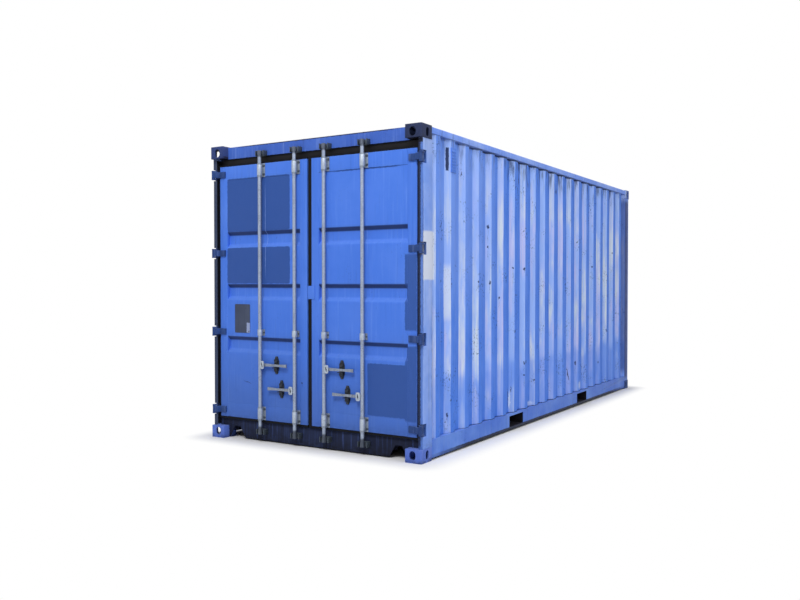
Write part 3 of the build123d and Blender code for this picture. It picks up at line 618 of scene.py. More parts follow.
@dataclass(frozen=True)
class Galvanised:
    """Hot-dipped zinc on steel: pale grey-blue, with faint spangles and rust where it is handled."""

    name: str
    base: str
    shade: str
    rust: float
    marks: tuple[Mark, ...] = ()
    roughness: float = 0.42
    metallic: float = 0.55

    def mix(self) -> bpy.types.Material:
        """Mixes zinc spangles about a centimetre across, dull runs and a little rust.

        Returns:
            The zinc's material.
        """
        zinc = Recipe(self.name, self.base, self.roughness)
        cells = zinc.add("ShaderNodeTexVoronoi", {"Vector": zinc.where, "Scale": 1 / (SPANGLE * MM)})
        shine = zinc.add("ShaderNodeSeparateColor", {0: cells.outputs["Color"]}).outputs[0]
        zinc.layer(zinc.both(shine, 0.35), self.shade)
        zinc.layer(zinc.blotches(ZINC_RUNS, top=0.55), self.shade)
        zinc.put(self.marks)
        rusty = zinc.both(zinc.blotches(RUST_CLUSTERS), zinc.blotches(RUST_FLECKS))
        zinc.layer(zinc.both(rusty, self.rust), "#4a3d3a")
        zinc.gloss(zinc.both(shine, 0.5), roughness=0.58)
        zinc.gloss(rusty, RUST_ROUGHNESS)
        zinc.lift(zinc.blotches(ZINC_GRAIN), height=0.08)
        return zinc.done({"Metallic": self.metallic})


# Rubber: wide dusty clouds, narrow dusty folds, and mould lines drawn coarse to show
DUSTY_CLOUDS = Blotch(70, 0.45, 0.75, (1, 1, 3), seed=1)
DUSTY_FOLDS = Blotch(14, 0.6, 0.8, (1, 1, 4), seed=2)
MOULD_GRAIN = Blotch(3, 0.3, 0.7, detail=2.0, seed=3)


@dataclass(frozen=True)
class Rubber:
    """Extruded rubber door seal: near black, matt, with pale dust in its folds."""

    name: str = "door_seal_rubber"

    def mix(self) -> bpy.types.Material:
        """Mixes black rubber with a bloom of dust and fine mould lines.

        Returns:
            The rubber's material.
        """
        seal = Recipe(self.name, "#0b0c12", roughness=0.75)
        seal.layer(seal.blotches(DUSTY_CLOUDS, top=0.5), "#171a26")
        seal.layer(seal.blotches(DUSTY_FOLDS, top=0.4), "#2b3048")
        seal.lift(seal.blotches(MOULD_GRAIN), height=0.15)
        return seal.done({"IOR": 1.52, "Specular IOR Level": 0.15})


# Plywood: long grain a few millimetres wide, worn areas and raised fibres, in boards of this size in
# metres with joints that are this share of a board
WOOD_GRAIN = Blotch(9, 0.35, 0.7, (26, 1, 1), seed=1)
WORN_AREAS = Blotch(380, 0.45, 0.7, seed=2)
WOOD_FIBRES = Blotch(7, 0.3, 0.7, (20, 1, 1), seed=3)
BOARD_LENGTH = 2.4
BOARD_WIDTH = 1.2
JOINT_WIDTH = 0.004


@dataclass(frozen=True)
class Plywood:
    """Thick varnished floor plywood: brown boards with grain along the box and dark joints."""

    name: str = "floor_plywood_boards"

    def mix(self) -> bpy.types.Material:
        """Mixes long grain, board joints 1.2 m apart and the wear of loading.

        Returns:
            The plywood's material.
        """
        wood = Recipe(self.name, "#7a5232", roughness=0.55)
        wood.layer(wood.blotches(WOOD_GRAIN, top=0.7), "#5a3820")
        wood.layer(wood.blotches(WORN_AREAS, top=0.6), "#8f6a48")
        sockets = {"Vector": wood.where, "Scale": (1 / BOARD_LENGTH, 1 / BOARD_WIDTH, 1.0)}
        laid = wood.add("ShaderNodeMapping", sockets).outputs[0]
        sockets = {
            "Vector": laid, "Scale": 1.0, "Mortar Size": JOINT_WIDTH, "Brick Width": 1.0, "Row Height": 1.0
        }
        joints = wood.add("ShaderNodeTexBrick", sockets).outputs[1]
        wood.layer(joints, "#22170f")
        wood.lift(joints, height=-1.5)
        wood.lift(wood.blotches(WOOD_FIBRES), height=0.3)
        return wood.done({"IOR": 1.5})


def spots(
    places: Sequence[tuple[float, float]], radius: float, colour: str, face: Axis
) -> tuple[Mark, ...]:
    """Makes small round marks, each with a thin run of rust water below it.

    Args:
        places: Middle of each, across and up, in millimetres.
        radius: Half their width, in millimetres.
        colour: What they show.
        face: The axis that the face looks along.

    Returns:
        The marks, some larger and taller than others.
    """
    made = []
    for number, (across, up) in enumerate(places):
        wide = radius * (0.75 + 0.2 * (number % 3))
        tall = wide * (1.0 + 0.4 * (number % 4))
        thin = 0.45 * wide
        foot = up - (60.0 + 35.0 * (number % 5))
        spot = Mark((across - wide, across + wide), (up - tall, up + tall), colour, face, MarkShape.SPOT)
        run = replace(spot, across=(across - thin, across + thin), up=(foot, up + tall))
        made += [replace(run, strength=0.4, soft=0.9), replace(spot, strength=0.92, soft=0.5)]
    return tuple(made)


def oval(
    across: tuple[float, float],
    up: tuple[float, float],
    colour: str,
    strength: float = 1.0,
    soft: float = 0.5,
    tilt: float = 0.0,
) -> Mark:
    """Makes an oval mark on a side wall, such as a scrape or a run of dirt."""
    return Mark(across, up, colour, shape=MarkShape.SPOT, strength=strength, soft=soft, tilt=tilt)


def outward(*marks: Mark) -> tuple[Mark, ...]:
    """Keeps marks to the faces that look out of the container."""
    return tuple(replace(mark, facing=True) for mark in marks)


RUST_SPOTS = (
    (-2464, 1533), (-1926, 1552), (-1652, 1543), (-1403, 1391), (-1093, 1701), (-807, 1695), (-1036, 1417),
    (-804, 679), (-803, 550), (-2740, 726), (-2480, 483), (-2519, 351), (-2538, 289), (-1675, 1898),
    (-1676, 2095), (2019, 901), (349, 1604), (947, 1708), (2289, 1966), (-764, 688), (-523, 468),
    (257, 483), (360, 548), (850, 542), (1190, 490), (1716, 485), (1366, 1101), (2053, 885), (513, 1593),
    (1441, 1755),
)
SEAM_AND_SHADOW_DARK = "#141a30"
SCRAPE_DARK = "#232b4a"
RUN_DARK = "#2b3860"
STEEL_DARK = "#22305c"
# Near-black at the foot of the top castings and on the near post just under them
CASTING_FOOT_BLACK = "#171112"
RUBBED_PALE = "#b3c7ee"
PATCH_BLUE = "#2f5198"
PALE_LINE = "#86a4e4"
# The near skin of the box, and its door end
NEAR_SKIN = (-1230, -1175)
DOOR_END = (-3040, -2800)
WHITENED_CORNER = Mark((-2999, -2773), (1559, 1999), "#ced6e6", strength=0.95, soft=0.1, through=NEAR_SKIN)
WALL_MARKS = outward(
    # Bleached towards the doors, with a pale strip and a whitened corner
    Mark((-3200, -1200), (1100, 3300), "#86a6ee", strength=0.42, soft=0.7),
    Mark((-2560, -2478), (1180, 1737), "#c8d4ea", strength=0.75, soft=0.3),
    WHITENED_CORNER,
    # Scrapes low on the wall
    oval((-1167, -1155), (215, 468), SCRAPE_DARK),
    oval((-1122, -1110), (390, 470), SCRAPE_DARK),
    oval((-1149, -1117), (190, 440), "#c9d8f2", 0.8, 0.6),
    oval((568, 582), (322, 537), SCRAPE_DARK, tilt=-12.5),
    # Painted shadow beside the ventilator, and painted shade on the last bay next to the front post
    Mark((-2538, -2506), (2545, 2764), "#18244a", strength=0.95, soft=0.12),
    Mark((2790, 2900), (188, 2812), "#2a4a96", strength=0.8, soft=0.1),
    # Dirt that runs down from the rail
    oval((-1181, -1161), (2572, 2740), RUN_DARK, 0.85, 0.7, 13.0),
    oval((-908, -888), (2552, 2754), RUN_DARK, 0.85, 0.7),
    oval((-741, -721), (2541, 2690), RUN_DARK, 0.85, 0.7),
    oval((60, 200), (2570, 2650), RUN_DARK, 0.75, 0.8),
    # Rubbed places above the fork tunnels
    oval((-700, -510), (175, 250), RUBBED_PALE, 0.75, 0.6),
    oval((870, 1060), (190, 325), RUBBED_PALE, 0.75, 0.6),
    # A dark seam along the lower rail, and a dark seam with painted shadow under the upper rail
    Mark((-2850, 2880), (178, 191), SEAM_AND_SHADOW_DARK, strength=0.85, soft=0.4),
    Mark((-2850, 2880), (2812, 2834), SEAM_AND_SHADOW_DARK, strength=0.85, soft=0.4),
    *spots(RUST_SPOTS, 12.0, STEEL_DARK, Axis.Y),
)

HINGE_LEVELS = (281, 1060, 1839, 2618)
HINGE_SHADOW = 57
REAR_POST_MARKS = (
    # Rubbed edges of the near side
    WHITENED_CORNER,
    Mark((-2996, -2984), (620, 2700), STEEL_DARK, strength=0.75, soft=0.6),
    Mark((-2843, -2830), (250, 1600), STEEL_DARK, strength=0.6, soft=0.6),
    # Faces beside the doors: painted shade on the posts' door faces, and painted shadow in the gaps next to
    # the doors
    *outward(
        Mark((-1220, -1160), (100, 2790), "#4a6db9", Axis.X, strength=0.9, soft=0.02),
        Mark((1160, 1220), (100, 2790), "#2b3347", Axis.X, strength=0.95, soft=0.02),
        Mark((-1191, -1160), (100, 2790), "#141b33", Axis.X, strength=0.92, soft=0.05),
        Mark((-2997, -2900), (110, 2785), "#0b0c12", soft=0.02, through=(1100, 1200)),
        # A near-black band on the near post just under its casting
        Mark((-1220, -1160), (2735, 2780), CASTING_FOOT_BLACK, Axis.X, strength=0.9, soft=0.3),
    ),
    # Painted shadow round the hinges
    *(
        Mark((-2994, -2935), (at - HINGE_SHADOW, at + HINGE_SHADOW), "#1f2c54", strength=0.75, soft=0.25)
        for at in HINGE_LEVELS
    ),
)
FRONT_POST_MARKS = (
    # Painted shade on the post's side next to the last bay of the wall
    Mark((2850, 3000), (120, 2780), "#1d3470", strength=0.95, soft=0.06, through=(-1230, -1150)),
)
RAIL_SEAMS = tuple(
    Mark((at - 5, at + 5), (2800, 2900), "#2a3a6c", strength=0.7, soft=0.6) for at in (-2660, -2455, -2138)
)
CASTING_MARKS = (
    Mark((-1230, -1020), (2760, 2900), "#1e2640", Axis.X, strength=0.92, soft=0.06, through=DOOR_END),
    Mark((-1230, -1020), (2760, 2802), CASTING_FOOT_BLACK, Axis.X, strength=0.85, soft=0.4, through=DOOR_END),
    Mark((1020, 1230), (2760, 2900), "#2b3866", Axis.X, strength=0.85, soft=0.06, through=DOOR_END),
    Mark((1020, 1230), (2760, 2802), CASTING_FOOT_BLACK, Axis.X, strength=0.8, soft=0.4, through=DOOR_END),
    Mark((2840, 2905), (2770, 2900), "#9db3e2", strength=0.8, soft=0.2),
)
DOOR_MARKS = outward(
    # Repainted patches, three large ones and two along the right edge
    Mark((249, 1052), (2047, 2575), PATCH_BLUE, Axis.X, soft=0.02),
    Mark((249, 1056), (1537, 1892), PATCH_BLUE, Axis.X, soft=0.02),
    Mark((-1044, -627), (360, 832), PATCH_BLUE, Axis.X, soft=0.03),
    Mark((-1144, -1019), (1122, 1801), PATCH_BLUE, Axis.X, strength=0.9),
    Mark((-1144, -1019), (332, 1006), PATCH_BLUE, Axis.X, strength=0.9),
    # A dark seam, a pale drip and a scratch
    Mark((-1044, -165), (2550, 2565), "#24407f", Axis.X, strength=0.85, soft=0.4),
    Mark((553, 560), (1540, 2560), PALE_LINE, Axis.X, strength=0.6, soft=0.5),
    Mark((725, 855), (566, 574), "#263768", Axis.X, MarkShape.SPOT, soft=0.5, tilt=15.0),
) + spots(((109, 604),), 14.0, "#232c50", Axis.X)
BAR_END_MARKS = (
    Mark((-1300, 1300), (0, 168), "#2a303c", Axis.X, strength=0.85, soft=0.25),
    Mark((-1300, 1300), (2742, 2900), "#343b4a", Axis.X, strength=0.8, soft=0.25),
)

ASLANT = 0.7071
SHEET_CHALK = Chalk(
    ("#93b2f2", "#b9bdec", "#cfd9e2"), (0.08, 0.43, 0.47), (-ASLANT, -ASLANT, 0.0), (ASLANT, -ASLANT, 0.0),
    strength=0.97, repainted_below=700.0,
)
FAR_CHALK = replace(SHEET_CHALK, way=(-ASLANT, ASLANT, 0.0), lee=(ASLANT, ASLANT, 0.0))
FRONT_CHALK = Chalk(
    ("#82a2e2", "#9db4e4", "#b6c4e0"), (0.1, 0.46, 0.54), (ASLANT, -ASLANT, 0.0), (ASLANT, ASLANT, 0.0),
    strength=0.4, repainted_below=500.0,
)

# Alkyd enamel sprayed on corrugated steel: flat even blue on the crests, chalked pale on the weather slopes
NEAR_WALL_PAINT = Paint(
    "chalked_blue_wall_paint", "#467bde", "#5a8ae8", 0.7, streaking=0.28, griming=0.2, drip_from=2830.0,
    drip_length=330.0, rust="#22315f", chips=0.95, flecking=0.565, roughness=0.58, chalk=SHEET_CHALK,
    marks=WALL_MARKS,
)
# The same enamel on the side away from the sun: as chalky, with more rain runs
FAR_WALL_PAINT = replace(
    NEAR_WALL_PAINT, name="chalked_blue_far_wall_paint", griming=0.28, seed=4.0, chalk=FAR_CHALK, marks=(),
)
# The same enamel on the blind end: less bleached, darker under its top rail
FRONT_WALL_PAINT = Paint(
    "chalked_blue_front_paint", "#4577dc", "#5c86e0", 0.6, streaking=0.35, griming=0.28, drip_from=2830.0,
    chips=0.7, roughness=0.58, seed=8.0, chalk=FRONT_CHALK,
)
# Roof enamel under sun and standing water: bleached, dusty and freckled with rust
ROOF_PAINT = Paint(
    "bleached_blue_roof_paint", "#587ed2", "#8ca4dc", 0.85, streaking=0.2, griming=0.35, grime_and_shade="#333b52",
    ledge_dust_and_light=0.1, chips=0.9, roughness=0.68, seed=12.0,
)
# Enamel on the door posts: pale and mottled on the sides, with painted shade on the faces that the doors
# meet
REAR_POST_PAINT = Paint(
    "mottled_blue_rear_post_paint", "#7297e6", "#9db6ee", 0.85, streak_and_highlight="#b4c6ee", streaking=0.45,
    griming=0.4, mud_top=240.0, chips=1.0, seed=16.0, marks=REAR_POST_MARKS,
)
# Enamel on the front posts: worn and scuffed, with a dark strip of painted shade next to the wall
FRONT_POST_PAINT = Paint(
    "worn_blue_front_post_paint", "#4f78d2", "#7d9be0", 0.8, streak_and_highlight="#a5b6e6", streaking=0.4, griming=0.35,
    mud_top=240.0, chips=0.9, seed=18.0, marks=FRONT_POST_MARKS,
)
# Enamel on the lower rails: scuffed pale by the ground, with a black band of painted shadow at the foot
BOTTOM_RAIL_PAINT = Paint(
    "scuffed_blue_bottom_rail_paint", "#4c75d0", "#6f98e2", 0.7, streaking=0.35, griming=0.3, mud_top=60.0,
    # Painted shadow along the foot of the rail
    chips=1.0, seed=20.0, marks=(Mark((-3000, 3000), (0, 50), "#0d1018", strength=0.94, soft=0.3),),
)
# Enamel on the upper rails: the palest blue, with dark butt seams where lengths meet
TOP_RAIL_PAINT = Paint(
    "bleached_blue_top_rail_paint", "#6a90e8", "#97b2f0", 0.8, streak_and_highlight="#b4c8f2", streaking=0.35,
    griming=0.35, chips=1.0, seed=22.0, marks=RAIL_SEAMS,
)
# Enamel on the ventilator covers: the wall's plain blue, sheltered from the weather, with painted shade
# under the louvres
VENTILATOR_PAINT = Paint(
    "sheltered_blue_ventilator_paint", "#4a78d8", "#5f8ce6", 0.6, griming=0.4, underside_grime_and_shade=0.9, ledge_dust_and_light=0.1,
    seed=23.0,
)
# Enamel on the door header: a shaded blue, with a black band of painted shadow, as dark as the rubber seal,
# over the doors
HEADER_PAINT = Paint(
    "shaded_blue_header_paint", "#3c5fb6", "#4b70c8", 0.6, griming=0.4, chips=0.7, seed=24.0,
    marks=(
        # Painted shadow in the gap over the doors
        Mark((-1200, 1200), (2690, 2774), "#100f14", Axis.X, soft=0.03),
        Mark((-1060, 1060), (2878, 2896), "#1a2138", Axis.X, strength=0.85, soft=0.3),
    ),
)
# Satin enamel on the doors: clean even blue, with painted shade on the downward faces of the pressings and
# a thin painted highlight on their upward faces, and duller towards the ground
DOOR_PAINT = Paint(
    "satin_blue_door_paint", "#4676da", "#527fe0", 0.6, streak_and_highlight="#7ba0ea", streaking=0.22, griming=0.16,
    grime_and_shade="#1c2c55", mud_top=330.0, low_tone_top=1250.0, underside_grime_and_shade=0.9, ledge_dust_and_light=0.15, chips=0.4, roughness=0.48,
    seed=28.0, marks=DOOR_MARKS,
)
# Painted cast steel above: thick rough enamel, black where hooks and cones have struck it
TOP_CASTING_PAINT = Paint(
    "scuffed_blue_casting_paint", "#3c559a", "#4c67ae", 0.7, streak_and_highlight="#5f7cc2", griming=0.45, rust="#1d1a1e",
    chips=1.0, roughness=0.62, seed=32.0, marks=CASTING_MARKS,
)
# Painted cast steel below: the same enamel, rubbed to a dusty lavender blue
BOTTOM_CASTING_PAINT = Paint(
    "scuffed_lavender_casting_paint", "#4f6ac0", "#6a86d4", 0.7, streak_and_highlight="#8a9ad8", griming=0.35,
    mud_top=50.0, rust="#231f28", chips=1.0, roughness=0.62, seed=36.0,
    marks=(Mark((2840, 3040), (0, 125), "#27406f", strength=0.85, soft=0.1, through=(-1300, -1000)),),
)
# Bituminous underframe paint: brown-black, dusted with road dirt
UNDERFRAME_PAINT = Paint(
    "dirty_black_underframe_paint", "#1c1a20", "#2b2a33", 0.6, streak_and_highlight="#3f4256", streaking=0.3, griming=0.5,
    grime_and_shade="#120f10", mud_top=150.0, rust="#3a2a22", chips=1.0, roughness=0.72, shine=0.12, seed=40.0,
)
# Worn enamel on the door sill: dark with mud, tyre black and painted shade, blue only where it is left
SILL_PAINT = Paint(
    "muddy_blue_sill_paint", "#1b2034", "#2a3454", 0.6, streak_and_highlight="#5b74bc", streaking=0.3, griming=0.5,
    grime_and_shade="#15141a", mud_top=140.0, rust="#2e2320", chips=1.0, roughness=0.68, shine=0.12, seed=42.0,
)
# Enamel on forged hinges: darker than the doors, greasy and rubbed at the edges
HINGE_PAINT = Paint(
    "rubbed_blue_hinge_paint", "#213a70", "#2f4d86", 0.6, griming=0.6, rust="#1f1e26", chips=1.0,
    roughness=0.5, seed=44.0,
)
# Stove enamel on a thin metal plate: an even dull grey, paler where a corner is scuffed
PLATE_PAINT = Paint(
    "bare_grey_plate_paint", "#3b4358", "#49536a", 0.6, streak_and_highlight="#5f6a84", griming=0.3, chips=0.6,
    roughness=0.5, seed=48.0,
    marks=(Mark((755, 800), (1053, 1155), "#9aa8d0", Axis.X, strength=0.85, soft=0.1),),
)
# Hot-dipped zinc on drawn bar: pale grey-blue, softly shiny down its length, dark with grease at the ends
BAR_ZINC = Galvanised("galvanised_bar_zinc", "#9eaabe", "#727e96", 0.35, BAR_END_MARKS)
# Thicker zinc on the cast sleeves of the brackets: the palest metal on the doors
SLEEVE_ZINC = Galvanised("pale_sleeve_zinc", "#b4bfcc", "#8993a6", 0.3)
# Zinc worn by hands on the lift handles: greyer than the bars, with rust in its dents
HANDLE_ZINC = Galvanised("hand_worn_zinc", "#8d97a8", "#5c6576", 0.6)
# Hot-dipped zinc on forged fittings: duller, with dirt in the corners
FITTING_ZINC = Galvanised("galvanised_fitting_zinc", "#8f9aa8", "#5f6878", 0.6)
# Zinc gone dark with grease on the keepers that the cams turn in
KEEPER_ZINC = Galvanised("greasy_keeper_zinc", "#4b5661", "#2c333d", 0.9)
# Old zinc on bolts and rivets: dull and nearly black
BOLT_ZINC = Galvanised("dulled_bolt_zinc", "#4a525c", "#30363e", 0.9)
# Blackened cast iron of the handle catches: matt, with a little bare metal on its edges
CATCH_IRON = Galvanised("blackened_catch_iron", "#2c3440", "#181c24", 0.8)

Finish = Paint | Galvanised | Rubber | Plywood
_mixed: dict[str, bpy.types.Material] = {}

# Gap in metres that is welded shut in a copy, and the angle in degrees under which its faces are one
WELD_GAP = 0.00002
FLAT_ANGLE = 1.0
# Cosines from which an edge counts as along an axis, and a face as looking along one
ALONG = 0.999
SQUARE_ON = 0.9
# Edges sharper than these angles in degrees stay crisp: on steel sections, on sheets and on small pieces
STEEL_CREASE = 40.0
SHEET_CREASE = 50.0
SMALL_CREASE = 30.0
# Turn of a drum that looks out of the doors, and of one that stands
LOOKING_OUT = (0.0, -math.pi / 2, 0.0)
STANDING = (0.0, 0.0, 0.0)

Place = tuple[float, float, float]


def material_of(finish: Finish) -> bpy.types.Material:
    """Mixes a finish the first time it is asked for and gives the same material after that.

    Args:
        finish: The finish.

    Returns:
        Its material.
    """
    if finish.name not in _mixed:
        _mixed[finish.name] = finish.mix()
    return _mixed[finish.name]


def only(piece: bpy.types.Object) -> None:
    """Makes one object the only selected one, and the active one.

    Args:
        piece: The object.
    """
    bpy.ops.object.select_all(action="DESELECT")
    piece.select_set(True)
    bpy.context.view_layer.objects.active = piece


def link_new(name: str, data: bpy.types.ID) -> bpy.types.Object:
    """Puts a new object with its own data into the scene.

    Args:
        name: The object's name.
        data: Its mesh, lamp or camera.

    Returns:
        The object, at the origin.
    """
    made = bpy.data.objects.new(name, data)
    bpy.context.scene.collection.objects.link(made)
    return made


@contextmanager
def editing(piece: bpy.types.Object) -> Iterator[None]:
    """Opens a piece in edit mode with nothing selected, and closes it after the block.

    Args:
        piece: The piece.

    Yields:
        Nothing, while the piece is open.
    """
    only(piece)
    bpy.ops.object.mode_set(mode="EDIT")
    bpy.ops.mesh.select_mode(type="VERT")
    bpy.ops.mesh.select_all(action="DESELECT")
    yield
    bpy.ops.object.mode_set(mode="OBJECT")


def pick(piece: bpy.types.Object, part: Part, test: Callable[[Any], bool]) -> int:
    """Selects the edges or the faces of a piece in edit mode that pass a test.

    Args:
        piece: The piece that is in edit mode.
        part: Whether edges or faces are picked.
        test: Says whether one is taken.

    Returns:
        How many were selected.
    """
    bpy.ops.mesh.select_mode(type=part.value)
    bpy.ops.mesh.select_all(action="DESELECT")
    mesh = bmesh.from_edit_mesh(piece.data)
    found = mesh.edges if part is Part.EDGES else mesh.faces
    chosen = [element for element in found if test(element)]
    for element in chosen:
        element.select_set(True)
    bmesh.update_edit_mesh(piece.data)
    return len(chosen)


def round_edges(
    piece: bpy.types.Object, test: Callable[[bmesh.types.BMEdge], bool], radius: float, segments: int = 2
) -> None:
    """Rounds the edges of a piece in edit mode that pass a test.

    Args:
        piece: The piece that is in edit mode.
        test: Says whether an edge is rounded.
        radius: How far the rounding reaches, in millimetres.
        segments: Faces across it.
    """
    if pick(piece, Part.EDGES, test):
        bpy.ops.mesh.bevel(
            offset=radius * MM, offset_type="OFFSET", segments=segments, affect="EDGES", clamp_overlap=True
        )


def runs_along(edge: bmesh.types.BMEdge, axis: Axis) -> bool:
    """Says whether an edge runs along one axis."""
    way = (edge.verts[1].co - edge.verts[0].co).normalized()
    return abs(way[axis.value]) > ALONG


def looks_out(face: bmesh.types.BMFace) -> bool:
    """Says whether a face looks out of the doors, along -X."""
    return face.normal.x < -SQUARE_ON


def start_block(name: str, middle: Sequence[float], size: Sequence[float]) -> bpy.types.Object:
    """Adds the block that a piece is shaped from.

    Args:
        name: The piece's name.
        middle: Middle of the block, in metres.
        size: Its sides, in metres.

    Returns:
        The block, with its place in its mesh.
    """
    bpy.ops.object.select_all(action="DESELECT")
    bpy.ops.mesh.primitive_cube_add(size=1.0, location=middle, scale=size)
    block = bpy.context.active_object
    block.name = name
    bpy.ops.object.transform_apply(location=True, rotation=True, scale=True)
    return block


def start_drum(
    corners: int, radius: float, height: float, out: float = 0.0, turn: Sequence[float] = LOOKING_OUT
) -> bpy.types.Object:
    """Adds the drum that a piece is shaped from.

    Args:
        corners: Corners of its ends.
        radius: Half its width, in millimetres.
        height: Distance between its ends, in millimetres.
        out: How far its middle is moved out of the doors, in millimetres.
        turn: Its turn.

    Returns:
        The drum, with its place in its mesh.
    """
    bpy.ops.object.select_all(action="DESELECT")
    bpy.ops.mesh.primitive_cylinder_add(
        vertices=corners, radius=radius * MM, depth=height * MM, location=(-out * MM, 0, 0), rotation=turn
    )
    drum = bpy.context.active_object
    bpy.ops.object.transform_apply(location=True, rotation=True, scale=True)
    return drum


def copy_of(node: str, name: str) -> bpy.types.Object:
    """Copies a CAD node into a new piece and merges its loose triangles into whole faces.

    Args:
        node: The CAD node.
        name: The new piece's name.

    Returns:
        The new piece, at the origin.
    """
    piece = link_new(name, frame["nodes"][node].data.copy())
    only(piece)
    bpy.ops.mesh.customdata_custom_splitnormals_clear()
    with editing(piece):
        bpy.ops.mesh.select_all(action="SELECT")
        bpy.ops.mesh.remove_doubles(threshold=WELD_GAP)
        bpy.ops.mesh.dissolve_limited(angle_limit=math.radians(FLAT_ANGLE))
    return piece


def dress(
    piece: bpy.types.Object,
    finish: Finish,
    body: str,
    nodes: Sequence[str] = (),
    crease: float = STEEL_CREASE,
) -> bpy.types.Object:
    """Gives a finished piece its shading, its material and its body.

    Args:
        piece: The finished piece.
        finish: What its surface is.
        body: The CAD body that it moves with.
        nodes: CAD nodes that it stands for.
        crease: Edges sharper than this many degrees stay crisp.

    Returns:
        The same piece.
    """
    only(piece)
    bpy.ops.object.shade_smooth_by_angle(angle=math.radians(crease))
    piece.data.materials.clear()
    piece.data.materials.append(material_of(finish))
    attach(piece, body)
    if nodes:
        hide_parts(*nodes)
    LOG.info("%s: %d faces on %s", piece.name, len(piece.data.polygons), body)
    return piece


def body_of(node: str) -> str:
    """Gives the body that a CAD node rides on."""
    return frame["nodes"][node]["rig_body"]


@dataclass
class RoundedSteel:
    """A cast, rolled or folded steel piece whose long outer edges are rounded, as the real ones are.

    Attributes:
        node: The CAD node that it stands for.
        finish: What its surface is.
        slot: The record's material slot; not used.
        radius: Rounding of its edges, in millimetres.
        shortest: Length under which an edge is left sharp, in millimetres.
        along: The one axis whose edges are rounded, or none for all of them.
        segments: Faces across a rounding.
        corner: Angle in degrees from which an edge counts as a corner.
    """

    node: str
    finish: Finish
    slot: Slot
    radius: float
    shortest: float = 20.0
    along: Axis | None = None
    segments: int = 2
    corner: float = 35.0

    def build(self) -> bpy.types.Object:
        """Copies the node, rounds its outer edges and dresses it in the node's place.

        Returns:
            The finished piece.
        """
        piece = copy_of(self.node, f"{self.node}_rounded")
        with editing(piece):
            round_edges(piece, self.is_outer, self.radius, self.segments)
        return dress(piece, self.finish, body_of(self.node), (self.node,))

    def is_outer(self, edge: bmesh.types.BMEdge) -> bool:
        """Says whether an edge is an outer corner, long enough to round and along the right axis.

        Args:
            edge: The edge.

        Returns:
            Whether it is rounded.
        """
        if len(edge.link_faces) != 2 or edge.calc_length() < self.shortest * MM:
            return False
        if self.along and not runs_along(edge, self.along):
            return False
        return edge.calc_face_angle_signed(0.0) > math.radians(self.corner)


@dataclass
class PressedSheet:
    """A corrugated wall, roof sheet or door panel with rounded bends and the shallow dents of use.

    Attributes:
        node: The CAD node that it stands for.
        finish: What its surface is.
        slot: The record's material slot; not used.
        bends: The axis that its bends run along.
        bend_radius: Rounding of the bends, in millimetres.
        thrust: The axis that the dents push along.
        dent_depth: From the deepest dent to the highest bump, in millimetres.
        dent_size: Width of a dent, in millimetres.
        cuts: Axes that the sheet is cut across, with the number of bays.
        bend_segments: Faces across a bend.
        bend_angles: Least and greatest angle of a bend, in degrees.
    """

    node: str
    finish: Finish
    slot: Slot
    bends: Axis
    bend_radius: float
    thrust: Axis
    dent_depth: float
    dent_size: float
    cuts: tuple[tuple[Axis, int], ...]
    bend_segments: int = 3
    bend_angles: tuple[float, float] = (8.0, 80.0)

    def build(self) -> bpy.types.Object:
        """Copies the node, rounds its bends, cuts it into bays, dents it and dresses it.

        Returns:
            The finished piece.
        """
        piece = copy_of(self.node, f"{self.node}_pressed")
        low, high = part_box(self.node)
        with editing(piece):
            round_edges(piece, self.is_bend, self.bend_radius, self.bend_segments)
            for axis, count in self.cuts:
                self.cut(axis, low, high, count)
        self.dent(piece)
        return dress(piece, self.finish, body_of(self.node), (self.node,), SHEET_CREASE)

    def is_bend(self, edge: bmesh.types.BMEdge) -> bool:
        """Says whether an edge is a bend of the sheet and not one of its cut edges.

        Args:
            edge: The edge.

        Returns:
            Whether it is a bend.
        """
        if len(edge.link_faces) != 2 or not runs_along(edge, self.bends):
            return False
        least, greatest = self.bend_angles
        return math.radians(least) < edge.calc_face_angle(0.0) < math.radians(greatest)

    def cut(self, axis: Axis, low: Vector, high: Vector, count: int) -> None:
        """Bisects the whole sheet into even bays along one axis.

        Args:
            axis: The axis.
            low: Lowest corner of the sheet.
            high: Highest corner of the sheet.
            count: Number of bays.
        """
        normal = Vector((0, 0, 0))
        normal[axis.value] = 1.0
        for number in range(1, count):
            point = low.copy()
            point[axis.value] += (high - low)[axis.value] * number / count
            bpy.ops.mesh.select_all(action="SELECT")
            bpy.ops.mesh.bisect(plane_co=point, plane_no=normal, use_fill=False)

    def dent(self, piece: bpy.types.Object) -> None:
        """Pushes the sheet in and out by a smooth random field, both faces alike.

        Args:
            piece: The sheet.
        """
        field = bpy.data.textures.new(f"{self.node}_dents", type="CLOUDS")
        field.noise_scale = self.dent_size * MM
        modifier = piece.modifiers.new("dents", "DISPLACE")
        modifier.texture = field
        modifier.texture_coords = "LOCAL"
        modifier.direction = self.thrust.name
        modifier.mid_level = 0.5
        modifier.strength = self.dent_depth * MM
        only(piece)
        bpy.ops.object.modifier_apply(modifier=modifier.name)
        bpy.data.textures.remove(field)


